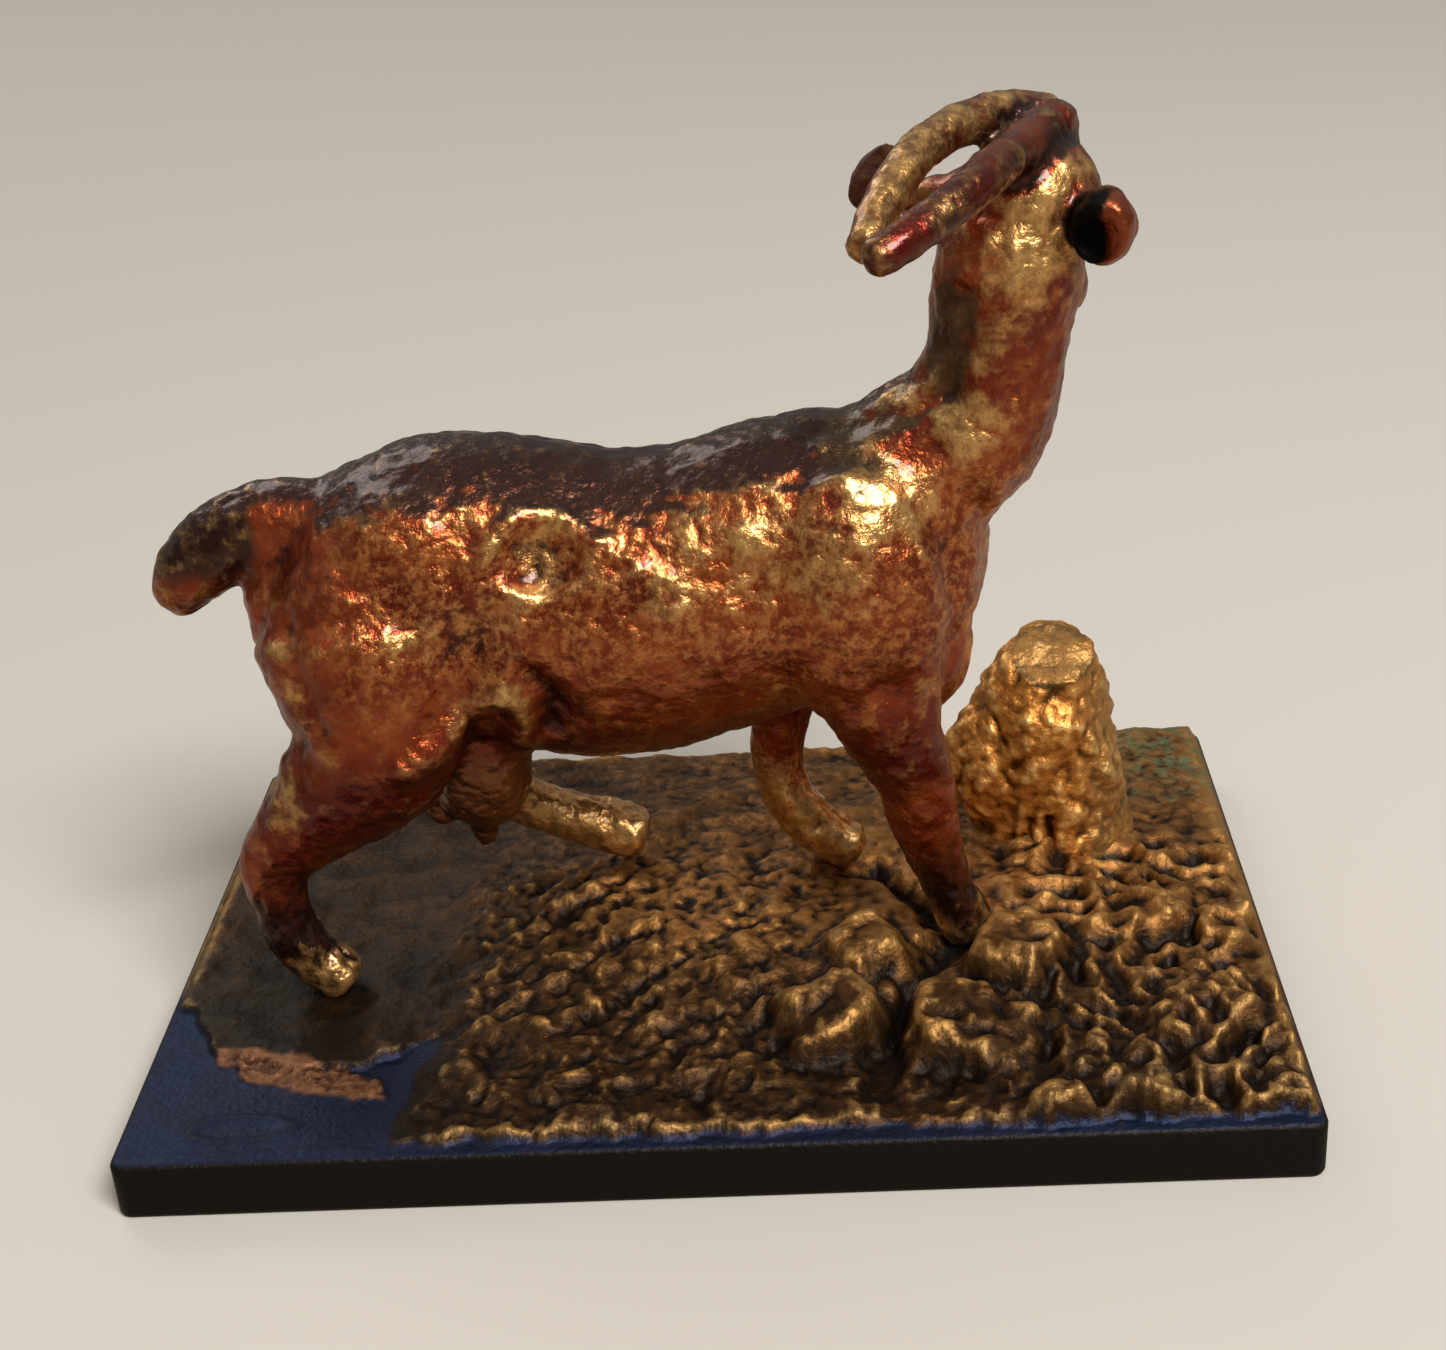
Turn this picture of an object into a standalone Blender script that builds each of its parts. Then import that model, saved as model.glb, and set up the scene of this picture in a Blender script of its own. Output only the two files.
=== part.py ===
"""A nanny goat standing on rocky ground, cast in bronze as one piece with its flat slab.

The goat looks along +X and turns its head back to its left, towards +Y. The origin is the
middle of the slab's underside and +Z is up. Lengths are in metres; the hand-chosen points
of the animal are written in millimetres and turned to metres by MM.
"""

import math

import bmesh
import bpy
import numpy as np
from mathutils import Matrix, Vector, noise

MM = 0.001

# Slab and ground
SLAB_LENGTH = 120 * MM
SLAB_WIDTH = 80 * MM
SLAB_THICKNESS = 6.4 * MM
SLAB_CORNER = 1.5 * MM
SLAB_EDGE = 0.5 * MM
GROUND_INSET = 0.7 * MM
MOUND_RISE = 3.5 * MM
SHELF_RISE = 0.9 * MM
PEBBLE_SIZE = 3.0 * MM
PEBBLE_RISE = 0.7 * MM
STRATA_SPACING = 5.2 * MM
STRATA_RISE = 1.1 * MM
RIDGE_SPACING = 4.0 * MM
RIDGE_RISE = 2.0 * MM
SWELL_SIZE = 6.5 * MM
SWELL_RISE = 0.7 * MM
BOULDER_RISE = 3.4 * MM
CREVICE_DEPTH = 2.4 * MM
CREVICE_WIDTH = 3.6 * MM
LEDGE_RADIUS = 17.5 * MM
LEDGE_DROP = 0.9 * MM
GROUND_CELL = 0.8 * MM
STUMP_TOP = 35.2 * MM
STUMP_WIDTH = 17.0 * MM
STUMP_CUT_DROP = 4.3 * MM

# Goat
AXIS_HEIGHT = 49.0 * MM
TORSO_WIDTH = 26.5 * MM
TORSO_DEPTH = 33.0 * MM
NECK_WIDTH = 14.4 * MM
HEAD_HEIGHT = 88.5 * MM
SKULL_WIDTH = 15.6 * MM
MUZZLE_LENGTH = 14.5 * MM
HEAD_TURN = math.radians(54)
HEAD_DIP = math.radians(38)
HORN_ROOT_DIAMETER = 4.9 * MM
HORN_TIP_DIAMETER = 4.2 * MM
HORN_SPREAD = 8.2 * MM
EAR_LENGTH = 6.0 * MM
EAR_WIDTH = 7.6 * MM
EAR_DEPTH = 3.3 * MM
EAR_STALK = 4.4 * MM
EYE_DIAMETER = 3.0 * MM
TAIL_THICKNESS = 8.6 * MM
CANNON_THICKNESS = 5.8 * MM
HOOF_WIDTH = 6.0 * MM
UDDER_WIDTH = 10.4 * MM
TEAT_DIAMETER = 2.8 * MM

# Wax surface
VOXEL = 0.75 * MM
SMOOTH_PASSES = 7
TARGET_TRIANGLES = 10400

BRONZE = (0.30, 0.075, 0.03, 1.0)
MIDLINE = -2.0 * MM


def clear_scene():
    for item in list(bpy.data.objects):
        bpy.data.objects.remove(item, do_unlink=True)


def eased(value):
    """0 to 1 with a soft start and end."""
    value = min(max(value, 0.0), 1.0)
    return value * value * (3 - 2 * value)


def smooth_run(rows, steps=4):
    """The rows joined by a Catmull-Rom curve through each of them."""
    rows = np.array(rows, float)
    padded = np.vstack([2 * rows[0] - rows[1], rows, 2 * rows[-1] - rows[-2]])
    run = []
    for a, b, c, d in zip(padded, padded[1:], padded[2:], padded[3:]):
        for step in range(steps):
            t = step / steps
            bend = (2 * a - 5 * b + 4 * c - d) * t * t + (3 * b - a - 3 * c + d) * t**3
            run.append(0.5 * (2 * b + (c - a) * t + bend))
    run.append(rows[-1])
    return np.array(run)


def unit(rows):
    return rows / np.linalg.norm(rows, axis=-1, keepdims=True)


def add_loft(clay, stations, depth_axis, roundness=0.6, sides=20):
    """A closed limb through stations (x, y, z, half width, half depth), with domed ends."""
    run = smooth_run(stations)
    centres, radii = run[:, :3], run[:, 3:]
    tangents = unit(np.gradient(centres, axis=0))
    dome = [math.radians(angle) for angle in (80, 55, 28)]
    rings = []
    for angle in dome:
        back = roundness * radii[0].mean() * math.sin(angle)
        rings.append((centres[0] - back * tangents[0], radii[0] * math.cos(angle), tangents[0]))
    rings += list(zip(centres, radii, tangents))
    for angle in reversed(dome):
        ahead = roundness * radii[-1].mean() * math.sin(angle)
        rings.append((centres[-1] + ahead * tangents[-1], radii[-1] * math.cos(angle), tangents[-1]))
    turns = np.linspace(0, 2 * math.pi, sides, endpoint=False)
    loops = []
    for centre, (half_width, half_depth), tangent in rings:
        side = unit(np.cross(tangent, depth_axis))
        depth = np.cross(side, tangent)
        ring = [
            centre + half_width * math.cos(turn) * side + half_depth * math.sin(turn) * depth
            for turn in turns
        ]
        loops.append([clay.verts.new(point) for point in ring])
    faces = [clay.faces.new(loops[0]), clay.faces.new(loops[-1])]
    for near, far in zip(loops, loops[1:]):
        for i in range(sides):
            j = (i + 1) % sides
            faces.append(clay.faces.new((near[i], near[j], far[j], far[i])))
    bmesh.ops.recalc_face_normals(clay, faces=faces)


def add_lump(clay, centre, radii, axes=Matrix.Identity(3), hollow=0.0):
    """An ellipsoid; hollow pushes its upper half in, to leave a cup."""
    made = bmesh.ops.create_uvsphere(clay, u_segments=24, v_segments=14, radius=1.0)
    for vert in made["verts"]:
        x, y, z = vert.co
        if z > 0:
            z *= 1 - hollow
        vert.co = Vector(centre) + axes @ Vector((x * radii[0], y * radii[1], z * radii[2]))


# Ground

BOULDERS = [
    # x, y, half length, half width, turn in degrees, share of the rise, lean along the length
    (32.2, -13.6, 6.2, 5.4, 65, 1.0, -0.15),
    (15.6, -12.4, 5.0, 4.4, 40, 0.70, 0.30),
    (11.8, -23.4, 6.8, 5.8, 20, 0.95, 0.35),
    (26.4, -24.8, 8.2, 7.0, -15, 0.85, -0.35),
    (34.6, -37.6, 3.4, 2.8, 0, 0.45, 0.0),
    (43.4, -37.4, 4.4, 2.8, 0, 0.50, 0.2),
    (50.0, -25.0, 7.0, 5.6, 40, 0.55, 0.3),
    (46.0, -7.0, 8.0, 4.2, 15, 0.60, 0.4),
    (55.0, -9.0, 4.2, 3.6, 60, 0.60, 0.0),
]
CREVICE = [(17.5, 3.5), (22.5, -2.5), (26.6, -8.0), (21.6, -16.0), (18.6, -24.0), (16.2, -33.0)]
LEDGE_CENTRE = (-41.5, -7.0)


def distance_to_run(x, y, run):
    """The distance in millimetres from a point to a line of points."""
    nearest = math.inf
    for (ax, ay), (bx, by) in zip(run, run[1:]):
        along = ((x - ax) * (bx - ax) + (y - ay) * (by - ay)) / ((bx - ax) ** 2 + (by - ay) ** 2)
        along = min(max(along, 0.0), 1.0)
        nearest = min(nearest, math.hypot(x - ax - along * (bx - ax), y - ay - along * (by - ay)))
    return nearest


def boulder_share(x, y):
    """How much of a boulder's rise a point has: blocks with leaning tops and steep sides."""
    highest = 0.0
    for centre_x, centre_y, half_length, half_width, degrees, share, lean in BOULDERS:
        turn = math.radians(degrees)
        along = (x - centre_x) * math.cos(turn) + (y - centre_y) * math.sin(turn)
        across = (y - centre_y) * math.cos(turn) - (x - centre_x) * math.sin(turn)
        along, across = along / half_length, across / half_width
        apart = (abs(along) ** 3 + abs(across) ** 3) ** (1 / 3)
        highest = max(highest, share * (1 + lean * along) * eased((1 - apart) / 0.45))
    return highest


def pebble_cover(x, y):
    """How much of the pebble field lies at a point, from 0 to 1."""
    left = eased((x + 33) / 9)
    front = 1 - eased((y - 2) / 12)
    right = 1 - eased((x - 4) / 8)
    return left * front * right


def strata(x, y):
    """Slanting ridges of the rock bed, from about -1 to 1, that run back and to the right."""
    spacing = STRATA_SPACING / MM
    along, across = (x + y) / (2.6 * spacing), (y - x) / spacing
    return 1 - 3.2 * abs(noise.noise(Vector((along, across, 5.0))))


def ridges(x, y):
    """The net of coarse ridges at the front right, from about -1 to 1."""
    spacing = RIDGE_SPACING / MM
    coarse = noise.noise(Vector((x, y, 0.0)) / spacing)
    fine = noise.noise(Vector((x, y, 9.0)) * 2 / spacing)
    return 0.6 - 2.2 * abs(coarse) + 0.5 * fine


def ground_height(x, y):
    """Height of the modelled ground over the table at a point in metres."""
    x, y = x / MM, y / MM
    reach = math.hypot((x - 5) / 53, (y - 4) / 37)
    height = MOUND_RISE * (1 - eased((reach - 0.28) / 0.72))
    height += SHELF_RISE * eased((x - 22) / 16)
    height += BOULDER_RISE * boulder_share(x, y)
    cover = pebble_cover(x, y)
    apart = noise.voronoi(Vector((x, y, 0.0)) * MM / PEBBLE_SIZE)[0][0]
    height += cover * (STRATA_RISE * strata(x, y) + PEBBLE_RISE * (1 - 2.2 * apart * apart))
    coarse = eased((x - 26) / 12) * (1 - eased((y - 6) / 10))
    height += RIDGE_RISE * coarse * ridges(x, y)
    swell = noise.noise(Vector((x, y, 7.0)) * MM / SWELL_SIZE)
    height += SWELL_RISE * swell * eased((x + 38) / 14)
    crevice = distance_to_run(x, y, CREVICE) * MM / (CREVICE_WIDTH / 2)
    height -= CREVICE_DEPTH * math.exp(-(crevice**2))
    ledge = math.hypot(x - LEDGE_CENTRE[0], min(y - LEDGE_CENTRE[1], 0.0)) * MM
    height -= LEDGE_DROP * eased((ledge - LEDGE_RADIUS) / LEDGE_DROP) * (1 - eased((x + 34) / 8))
    return SLAB_THICKNESS + LEDGE_DROP + max(height, -LEDGE_DROP)


def add_ground(clay):
    """The modelled top of the slab, as a closed block that sinks into the slab."""
    half_length = SLAB_LENGTH / 2 - GROUND_INSET
    half_width = SLAB_WIDTH / 2 - GROUND_INSET
    columns = round(2 * half_length / GROUND_CELL)
    rows = round(2 * half_width / GROUND_CELL)
    made = bmesh.ops.create_grid(clay, x_segments=columns, y_segments=rows, size=1.0)
    for vert in made["verts"]:
        x, y = vert.co.x * half_length, vert.co.y * half_width
        vert.co = Vector((x, y, ground_height(x, y)))
    top = {face for vert in made["verts"] for face in vert.link_faces}
    lower = bmesh.ops.extrude_face_region(clay, geom=list(top))
    for item in lower["geom"]:
        if isinstance(item, bmesh.types.BMVert):
            item.co.z = SLAB_THICKNESS / 2
    sides = {face for vert in made["verts"] for face in vert.link_faces}
    bmesh.ops.recalc_face_normals(clay, faces=list(sides | top))


def add_stump(clay):
    """The rock stump by the goat's chest, with its slanting cut top."""
    half = STUMP_WIDTH / 2
    foot = SLAB_THICKNESS
    rise = STUMP_TOP - foot
    shares = [
        # share of the rise, x, y, share of the width
        (0.0, 38.6, 15.4, 1.22),
        (0.23, 38.4, 15.0, 1.07),
        (0.53, 37.9, 14.4, 0.98),
        (0.70, 38.2, 14.0, 0.88),
        (0.83, 38.9, 13.7, 0.72),
        (0.93, 39.4, 13.4, 0.52),
    ]
    rows = [
        (x * MM, y * MM, foot + share * rise, half * width, half * width)
        for share, x, y, width in shares
    ]
    add_loft(clay, rows, (0, 1, 0), roundness=0.3)
    shoulder = (31.5 * MM, 13.0 * MM, foot + 0.42 * rise)
    add_lump(clay, shoulder, (half * 0.62, half * 0.7, rise * 0.28))


# Goat

def body_height(offset):
    """A height given in millimetres over the torso's middle line."""
    return AXIS_HEIGHT + offset * MM


def add_torso(clay):
    half_width, half_depth = TORSO_WIDTH / 2, TORSO_DEPTH / 2
    shares = [
        # x, height over the axis, share of width, share of depth
        (-43.0, 1.8, 0.46, 0.46),
        (-38.5, 1.2, 0.80, 0.78),
        (-31.0, 0.8, 0.96, 0.97),
        (-23.0, 1.2, 0.96, 1.03),
        (-15.5, -0.1, 0.98, 1.02),
        (-8.0, -1.2, 1.02, 1.01),
        (1.0, 0.0, 1.00, 0.95),
        (10.0, 2.4, 0.96, 0.94),
        (18.5, 2.8, 0.86, 0.93),
        (25.0, 1.6, 0.62, 0.70),
    ]
    rows = [
        (x * MM, MIDLINE, body_height(z), width * half_width, depth * half_depth)
        for x, z, width, depth in shares
    ]
    add_loft(clay, rows, (0, 0, 1), roundness=0.55, sides=28)


MUSCLES = [
    # x, depth under the torso's side, height over the axis, radii along x, y and z
    (-33.0, 6.4, -3.0, 11.2, 7.4, 13.4),
    (16.5, 5.6, 1.5, 9.6, 6.4, 14.0),
    (-27.5, 7.8, 7.5, 9.5, 6.4, 8.4),
]


def add_muscles(clay):
    """Thighs, shoulders and the points of hip and chest, as swellings of the torso."""
    half_width = TORSO_WIDTH / 2
    for side in (-1, 1):
        for x, inset, z, *radii in MUSCLES:
            y = MIDLINE + side * (half_width - inset * MM)
            add_lump(clay, (x * MM, y, body_height(z)), [radius * MM for radius in radii])
    add_lump(clay, (22.0 * MM, MIDLINE, body_height(-6)), (7.0 * MM, 8.4 * MM, 9.5 * MM))


def add_neck(clay):
    half = NECK_WIDTH / 2
    rise = HEAD_HEIGHT - AXIS_HEIGHT
    shares = [
        # x, y, share of the way from the axis to the head, shares of width and of depth
        (16.0, -2.0, 0.15, 1.32, 1.50),
        (23.4, -2.0, 0.30, 1.22, 1.28),
        (29.0, -2.2, 0.43, 1.08, 1.12),
        (31.3, -2.3, 0.57, 0.97, 1.00),
        (32.2, -2.2, 0.70, 0.96, 0.98),
        (33.0, -1.9, 0.82, 1.00, 1.01),
        (33.4, -1.4, 0.895, 0.99, 0.96),
    ]
    rows = [
        (x * MM, y * MM, AXIS_HEIGHT + share * rise, width * half, depth * half)
        for x, y, share, width, depth in shares
    ]
    add_loft(clay, rows, (1, 0, 0))


class Head:
    """The head's own frame: forward along the nose, left, and up through the crown."""

    centre = Vector((33.2 * MM, -1.1 * MM, HEAD_HEIGHT))
    level = Vector((math.cos(HEAD_TURN), math.sin(HEAD_TURN), 0))
    forward = level * math.cos(HEAD_DIP) - Vector((0, 0, math.sin(HEAD_DIP)))
    crown = level * math.sin(HEAD_DIP) + Vector((0, 0, math.cos(HEAD_DIP)))
    left = crown.cross(forward)

    @classmethod
    def at(cls, forward, left, crown):
        """A point given in metres along the head's own directions."""
        return cls.centre + forward * cls.forward + left * cls.left + crown * cls.crown


def add_head(clay):
    half = SKULL_WIDTH / 2
    axes = Matrix((Head.forward, Head.left, Head.crown)).transposed()
    skull = Head.at(1.6 * MM, -1.7 * MM, 0.4 * MM)
    add_lump(clay, skull, (half * 0.92, half * 0.84, half * 0.86), axes)
    shares = [
        # share of the muzzle, drop towards the nose, half width, half depth as shares of the skull
        (0.10, 0.3, 0.86, 0.96),
        (0.45, 1.9, 0.66, 0.76),
        (0.78, 3.3, 0.47, 0.56),
        (1.00, 3.9, 0.42, 0.48),
    ]
    rows = []
    for share, drop, width, depth in shares:
        point = Head.at(share * MUZZLE_LENGTH, 0, -drop * MM)
        rows.append((*point, half * width, half * depth))
    add_loft(clay, rows, tuple(Head.crown), roundness=0.7)
    for side in (-1, 1):
        eye = Head.at(0.42 * MUZZLE_LENGTH, side * half * 0.66, 1.6 * MM)
        add_lump(clay, eye, (EYE_DIAMETER / 2,) * 3, axes)
        brow = Head.at(0.30 * MUZZLE_LENGTH, side * half * 0.58, 3.6 * MM)
        add_lump(clay, brow, (2.8 * MM, 1.8 * MM, 1.3 * MM), axes)


EARS = [
    # side, reach beyond the skull, forward, crown, hollow as a share of the ear's depth
    (-1, 3.0, 0.2, -2.0, 0.0),
    (1, 7.0, -1.0, -0.3, 0.9),
]


def add_ears(clay):
    """Two short blunt ears; the far one is flattened at the back, the near one gets a dent."""
    half, stalk_radius = EAR_LENGTH / 2, EAR_STALK / 2
    for side, reach, forward, crown, hollow in EARS:
        middle = SKULL_WIDTH / 2 + reach * MM
        outward = (side * Head.left + 0.12 * Head.crown).normalized()
        back = (-Head.forward + outward * Head.forward.dot(outward)).normalized()
        axes = Matrix((outward, back.cross(outward), back)).transposed()
        centre = Head.at(forward * MM, side * middle, crown * MM)
        add_lump(clay, centre, (half, EAR_WIDTH / 2, EAR_DEPTH), axes, hollow=hollow)
        points = [
            # the stalk's middle line from inside the skull to the cup, and its share of the radius
            (Head.at(0.5 * MM, side * 0.35 * SKULL_WIDTH, 0.6 * MM), 1.27),
            (Head.at(1.2 * MM, side * (middle - 0.9 * half), 0.8 * crown * MM), 1.0),
            (Head.at((forward + 1.6) * MM, side * (middle + 0.2 * half), crown * MM), 0.77),
        ]
        stalk = [(*point, share * stalk_radius, share * stalk_radius) for point, share in points]
        add_loft(clay, stalk, tuple(Head.crown))


# Forward, left as a share of half the spread, crown, and the share of the way from root to tip.
HORN_ROUTES = [
    [
        (3.0, -0.40, 3.5, 0.0),
        (1.1, -0.44, 7.8, 0.0),
        (-4.8, -0.68, 3.0, 0.17),
        (-9.6, -0.88, -1.5, 0.33),
        (-13.2, -1.00, -5.4, 0.5),
        (-16.0, -0.88, -9.0, 0.67),
        (-18.3, -0.68, -12.3, 0.83),
        (-20.2, -0.42, -15.1, 1.0),
    ],
    [
        (4.0, 0.40, 5.0, 0.0),
        (4.8, 0.44, 9.6, 0.0),
        (0.3, 0.68, 8.3, 0.17),
        (-5.0, 0.88, 4.8, 0.33),
        (-9.2, 1.00, 0.8, 0.5),
        (-12.8, 0.88, -3.8, 0.67),
        (-15.6, 0.68, -8.7, 0.83),
        (-17.4, 0.42, -13.4, 1.0),
    ],
]


def add_horns(clay):
    """Two horns that sweep back over the neck, bow apart and meet again at blunt tips."""
    root, tip = HORN_ROOT_DIAMETER / 2, HORN_TIP_DIAMETER / 2
    for route in HORN_ROUTES:
        rows = []
        for forward, left, crown, way in route:
            point = Head.at(forward * MM, left * HORN_SPREAD / 2, crown * MM)
            radius = root + way * (tip - root)
            rows.append((*point, radius, radius))
        add_loft(clay, rows, tuple(Head.left), sides=16)


def add_tail(clay):
    half = TAIL_THICKNESS / 2
    shares = [
        # x, height over the axis, shares of width and of depth
        (-38.0, 9.0, 1.10, 1.25),
        (-44.5, 9.2, 1.00, 1.15),
        (-49.6, 7.2, 0.92, 1.02),
        (-53.0, 4.0, 0.76, 0.86),
        (-54.6, 1.8, 0.56, 0.62),
    ]
    rows = [
        (x * MM, MIDLINE, body_height(z), width * half, depth * half)
        for x, z, width, depth in shares
    ]
    add_loft(clay, rows, (0, 0, 1), roundness=0.5)


def add_udder(clay):
    half, teat = UDDER_WIDTH / 2, TEAT_DIAMETER / 2
    y = MIDLINE - 3.0 * MM
    rows = [
        (-23.6 * MM, y, body_height(-13.0), half, half),
        (-23.8 * MM, y, body_height(-18.5), half, half * 1.02),
        (-24.2 * MM, y, body_height(-22.8), 0.78 * half, 0.84 * half),
        (-24.5 * MM, y, body_height(-25.4), 1.25 * teat, 1.3 * teat),
        (-24.6 * MM, y, body_height(-27.4), teat, teat),
    ]
    add_loft(clay, rows, (1, 0, 0))
    swelling = (-28.6 * MM, y - 0.5 * MM, body_height(-22.6))
    add_lump(clay, swelling, (1.5 * teat, 1.4 * teat, 1.7 * teat))
    far_teat = (-25.0 * MM, y + 1.5 * half, body_height(-23.6))
    add_lump(clay, far_teat, (1.2 * teat, 1.2 * teat, 2.2 * teat))


# One leg: where it stands, then x and y in millimetres, height as a share of the way from the
# ground to the torso's axis, and half width and half depth in the unit that the last entry names.
LEGS = {
    "near_hind": [
        (-33.5, -9.0, 1.00, 8.0, 11.5, "body"),
        (-32.9, -10.2, 0.84, 7.8, 10.0, "body"),
        (-34.2, -11.2, 0.69, 6.8, 8.4, "body"),
        (-38.8, -11.6, 0.58, 5.0, 6.6, "body"),
        (-43.4, -11.6, 0.475, 1.34, 1.60, "cannon"),
        (-46.2, -11.5, 0.385, 1.14, 1.34, "cannon"),
        (-46.3, -11.3, 0.26, 0.98, 1.06, "cannon"),
        (-45.2, -11.2, 0.155, 0.96, 1.08, "cannon"),
        (-43.4, -11.1, 0.085, 0.96, 1.00, "hoof"),
        (-41.0, -11.0, 0.030, 1.02, 0.96, "hoof"),
    ],
    "far_hind": [
        (-31.0, 5.5, 1.00, 8.0, 11.5, "body"),
        (-29.5, 6.6, 0.82, 7.4, 9.6, "body"),
        (-27.5, 7.2, 0.64, 6.0, 7.4, "body"),
        (-28.4, 7.4, 0.46, 4.6, 5.2, "body"),
        (-28.0, 7.4, 0.320, 1.20, 1.30, "cannon"),
        (-22.6, 7.3, 0.225, 0.92, 0.96, "cannon"),
        (-16.6, 7.2, 0.150, 0.98, 1.04, "cannon"),
        (-12.4, 7.2, 0.115, 1.06, 1.06, "hoof"),
        (-9.4, 7.2, 0.080, 1.06, 1.02, "hoof"),
    ],
    "near_fore": [
        (17.0, -8.5, 1.00, 5.6, 8.6, "body"),
        (18.6, -9.4, 0.80, 5.2, 7.0, "body"),
        (20.0, -9.6, 0.665, 4.5, 5.3, "body"),
        (21.9, -9.4, 0.535, 1.30, 1.46, "cannon"),
        (22.8, -9.2, 0.42, 1.18, 1.36, "cannon"),
        (24.0, -9.0, 0.30, 1.02, 1.12, "cannon"),
        (25.2, -8.7, 0.20, 0.90, 0.96, "cannon"),
        (26.4, -8.4, 0.115, 0.94, 0.94, "hoof"),
        (27.6, -8.2, 0.040, 1.04, 1.04, "hoof"),
    ],
    "far_fore": [
        (10.5, 5.0, 0.95, 4.8, 7.0, "body"),
        (9.2, 5.8, 0.72, 4.0, 4.8, "body"),
        (8.3, 5.9, 0.54, 1.14, 1.26, "cannon"),
        (7.4, 5.8, 0.385, 0.98, 1.06, "cannon"),
        (7.9, 5.6, 0.27, 0.96, 1.00, "cannon"),
        (9.8, 5.5, 0.170, 1.00, 1.04, "cannon"),
        (12.4, 5.3, 0.095, 1.00, 1.02, "hoof"),
        (15.0, 5.2, 0.050, 1.02, 1.00, "hoof"),
    ],
}


def add_legs(clay):
    half_of = {"body": MM, "cannon": CANNON_THICKNESS / 2, "hoof": HOOF_WIDTH / 2}
    for stations in LEGS.values():
        foot_x, foot_y = stations[-1][:2]
        ground = ground_height(foot_x * MM, foot_y * MM)
        rows = []
        for x, y, share, width, depth, kind in stations:
            height = ground + share * (AXIS_HEIGHT - ground)
            rows.append((x * MM, y * MM, height, width * half_of[kind], depth * half_of[kind]))
        add_loft(clay, rows, (1, 0, 0), roundness=0.45)


DENTS = [
    # x, y, z over the axis and radius in millimetres, depth, and the way that it is pushed
    (-14.0, -13.6, 8.4, 6.0, 1.5, (0, 1, -0.3)),
    (-21.6, -15.2, 1.0, 5.2, 1.4, (0, 1, 0)),
    (-15.0, -14.4, -8.0, 5.6, 1.1, (0, 1, 0.3)),
    (-15.0, 10.4, 8.0, 6.0, 1.4, (0, -1, -0.3)),
    (-22.0, 11.6, 1.0, 5.2, 1.2, (0, -1, 0)),
    (23.5, -9.0, 17.5, 4.5, 0.9, (-0.4, 1, 0)),
    (-44.5, -5.5, -9.0, 4.0, 0.8, (1, 0.4, 0)),
    (7.0, -15.0, 6.0, 5.5, 0.8, (0, 1, 0)),
    (40.2, -11.0, 37.4, 3.3, 3.6, (0, 0.9, -0.45)),
]


def cut_stump(points):
    """Presses down what stands over the plane of the stump's slanting broken top."""
    middle_x, middle_y, back_y = 38.9 * MM, 13.4 * MM, 17.5 * MM
    slope = STUMP_CUT_DROP / (STUMP_WIDTH / 2)
    over = points[:, 2] - STUMP_TOP + slope * (back_y - points[:, 1])
    apart = np.hypot(points[:, 0] - middle_x, points[:, 1] - middle_y)
    stands = (apart < 0.55 * STUMP_WIDTH) & (over > 0) & (over < 2 * STUMP_CUT_DROP)
    points[:, 2] -= np.where(stands, 0.8 * over, 0.0)


def press_dents(points):
    """Hollows of the flank, the stifle, the neck's groove, behind the shoulder and in the ear."""
    for x, y, z, radius, depth, way in DENTS:
        centre = np.array([x * MM, y * MM, body_height(z)])
        apart = np.linalg.norm(points - centre, axis=1) / (radius * MM)
        fall = np.clip(1 - apart**2, 0, None) ** 2
        points += depth * MM * fall[:, None] * unit(np.array(way, float))


def press(mesh, *shapers):
    """Lets each shaper move the mesh's points."""
    points = np.empty(3 * len(mesh.vertices))
    mesh.vertices.foreach_get("co", points)
    points = points.reshape(-1, 3)
    for shaper in shapers:
        shaper(points)
    mesh.vertices.foreach_set("co", points.ravel())
    mesh.update()


def baked(item, **modifiers):
    """Replaces an object's mesh with what its modifiers make, and takes them off."""
    for kind, settings in modifiers.items():
        modifier = item.modifiers.new(kind, kind.upper())
        for key, value in settings.items():
            setattr(modifier, key, value)
    graph = bpy.context.evaluated_depsgraph_get()
    result = bpy.data.meshes.new_from_object(item.evaluated_get(graph))
    item.modifiers.clear()
    item.data = result


def collection(name):
    made = bpy.data.collections.new(name)
    bpy.context.scene.collection.children.link(made)
    return made


def slab_object(holder):
    """The plain slab under the ground, with rounded corners and softened edges."""
    mesh = bpy.data.meshes.new("slab_blank")
    blank = bmesh.new()
    bmesh.ops.create_cube(blank, size=1.0)
    for vert in blank.verts:
        x, y, z = vert.co
        vert.co = Vector((x * SLAB_LENGTH, y * SLAB_WIDTH, (z + 0.5) * SLAB_THICKNESS))
    for width, segments, want_level in ((SLAB_CORNER, 4, False), (SLAB_EDGE, 2, True)):
        edges = [e for e in blank.edges if (e.verts[0].co.z == e.verts[1].co.z) == want_level]
        bmesh.ops.bevel(blank, geom=edges, offset=width, segments=segments, affect="EDGES", profile=0.5)
    blank.to_mesh(mesh)
    blank.free()
    item = bpy.data.objects.new("slab_blank", mesh)
    holder.objects.link(item)
    item.hide_render = True
    item.display_type = "WIRE"
    return item


def bronze_material():
    material = bpy.data.materials.new("patinated_bronze")
    material.use_nodes = True
    shader = material.node_tree.nodes["Principled BSDF"]
    shader.inputs["Base Color"].default_value = BRONZE
    shader.inputs["Metallic"].default_value = 0.85
    shader.inputs["Roughness"].default_value = 0.35
    return material


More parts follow.
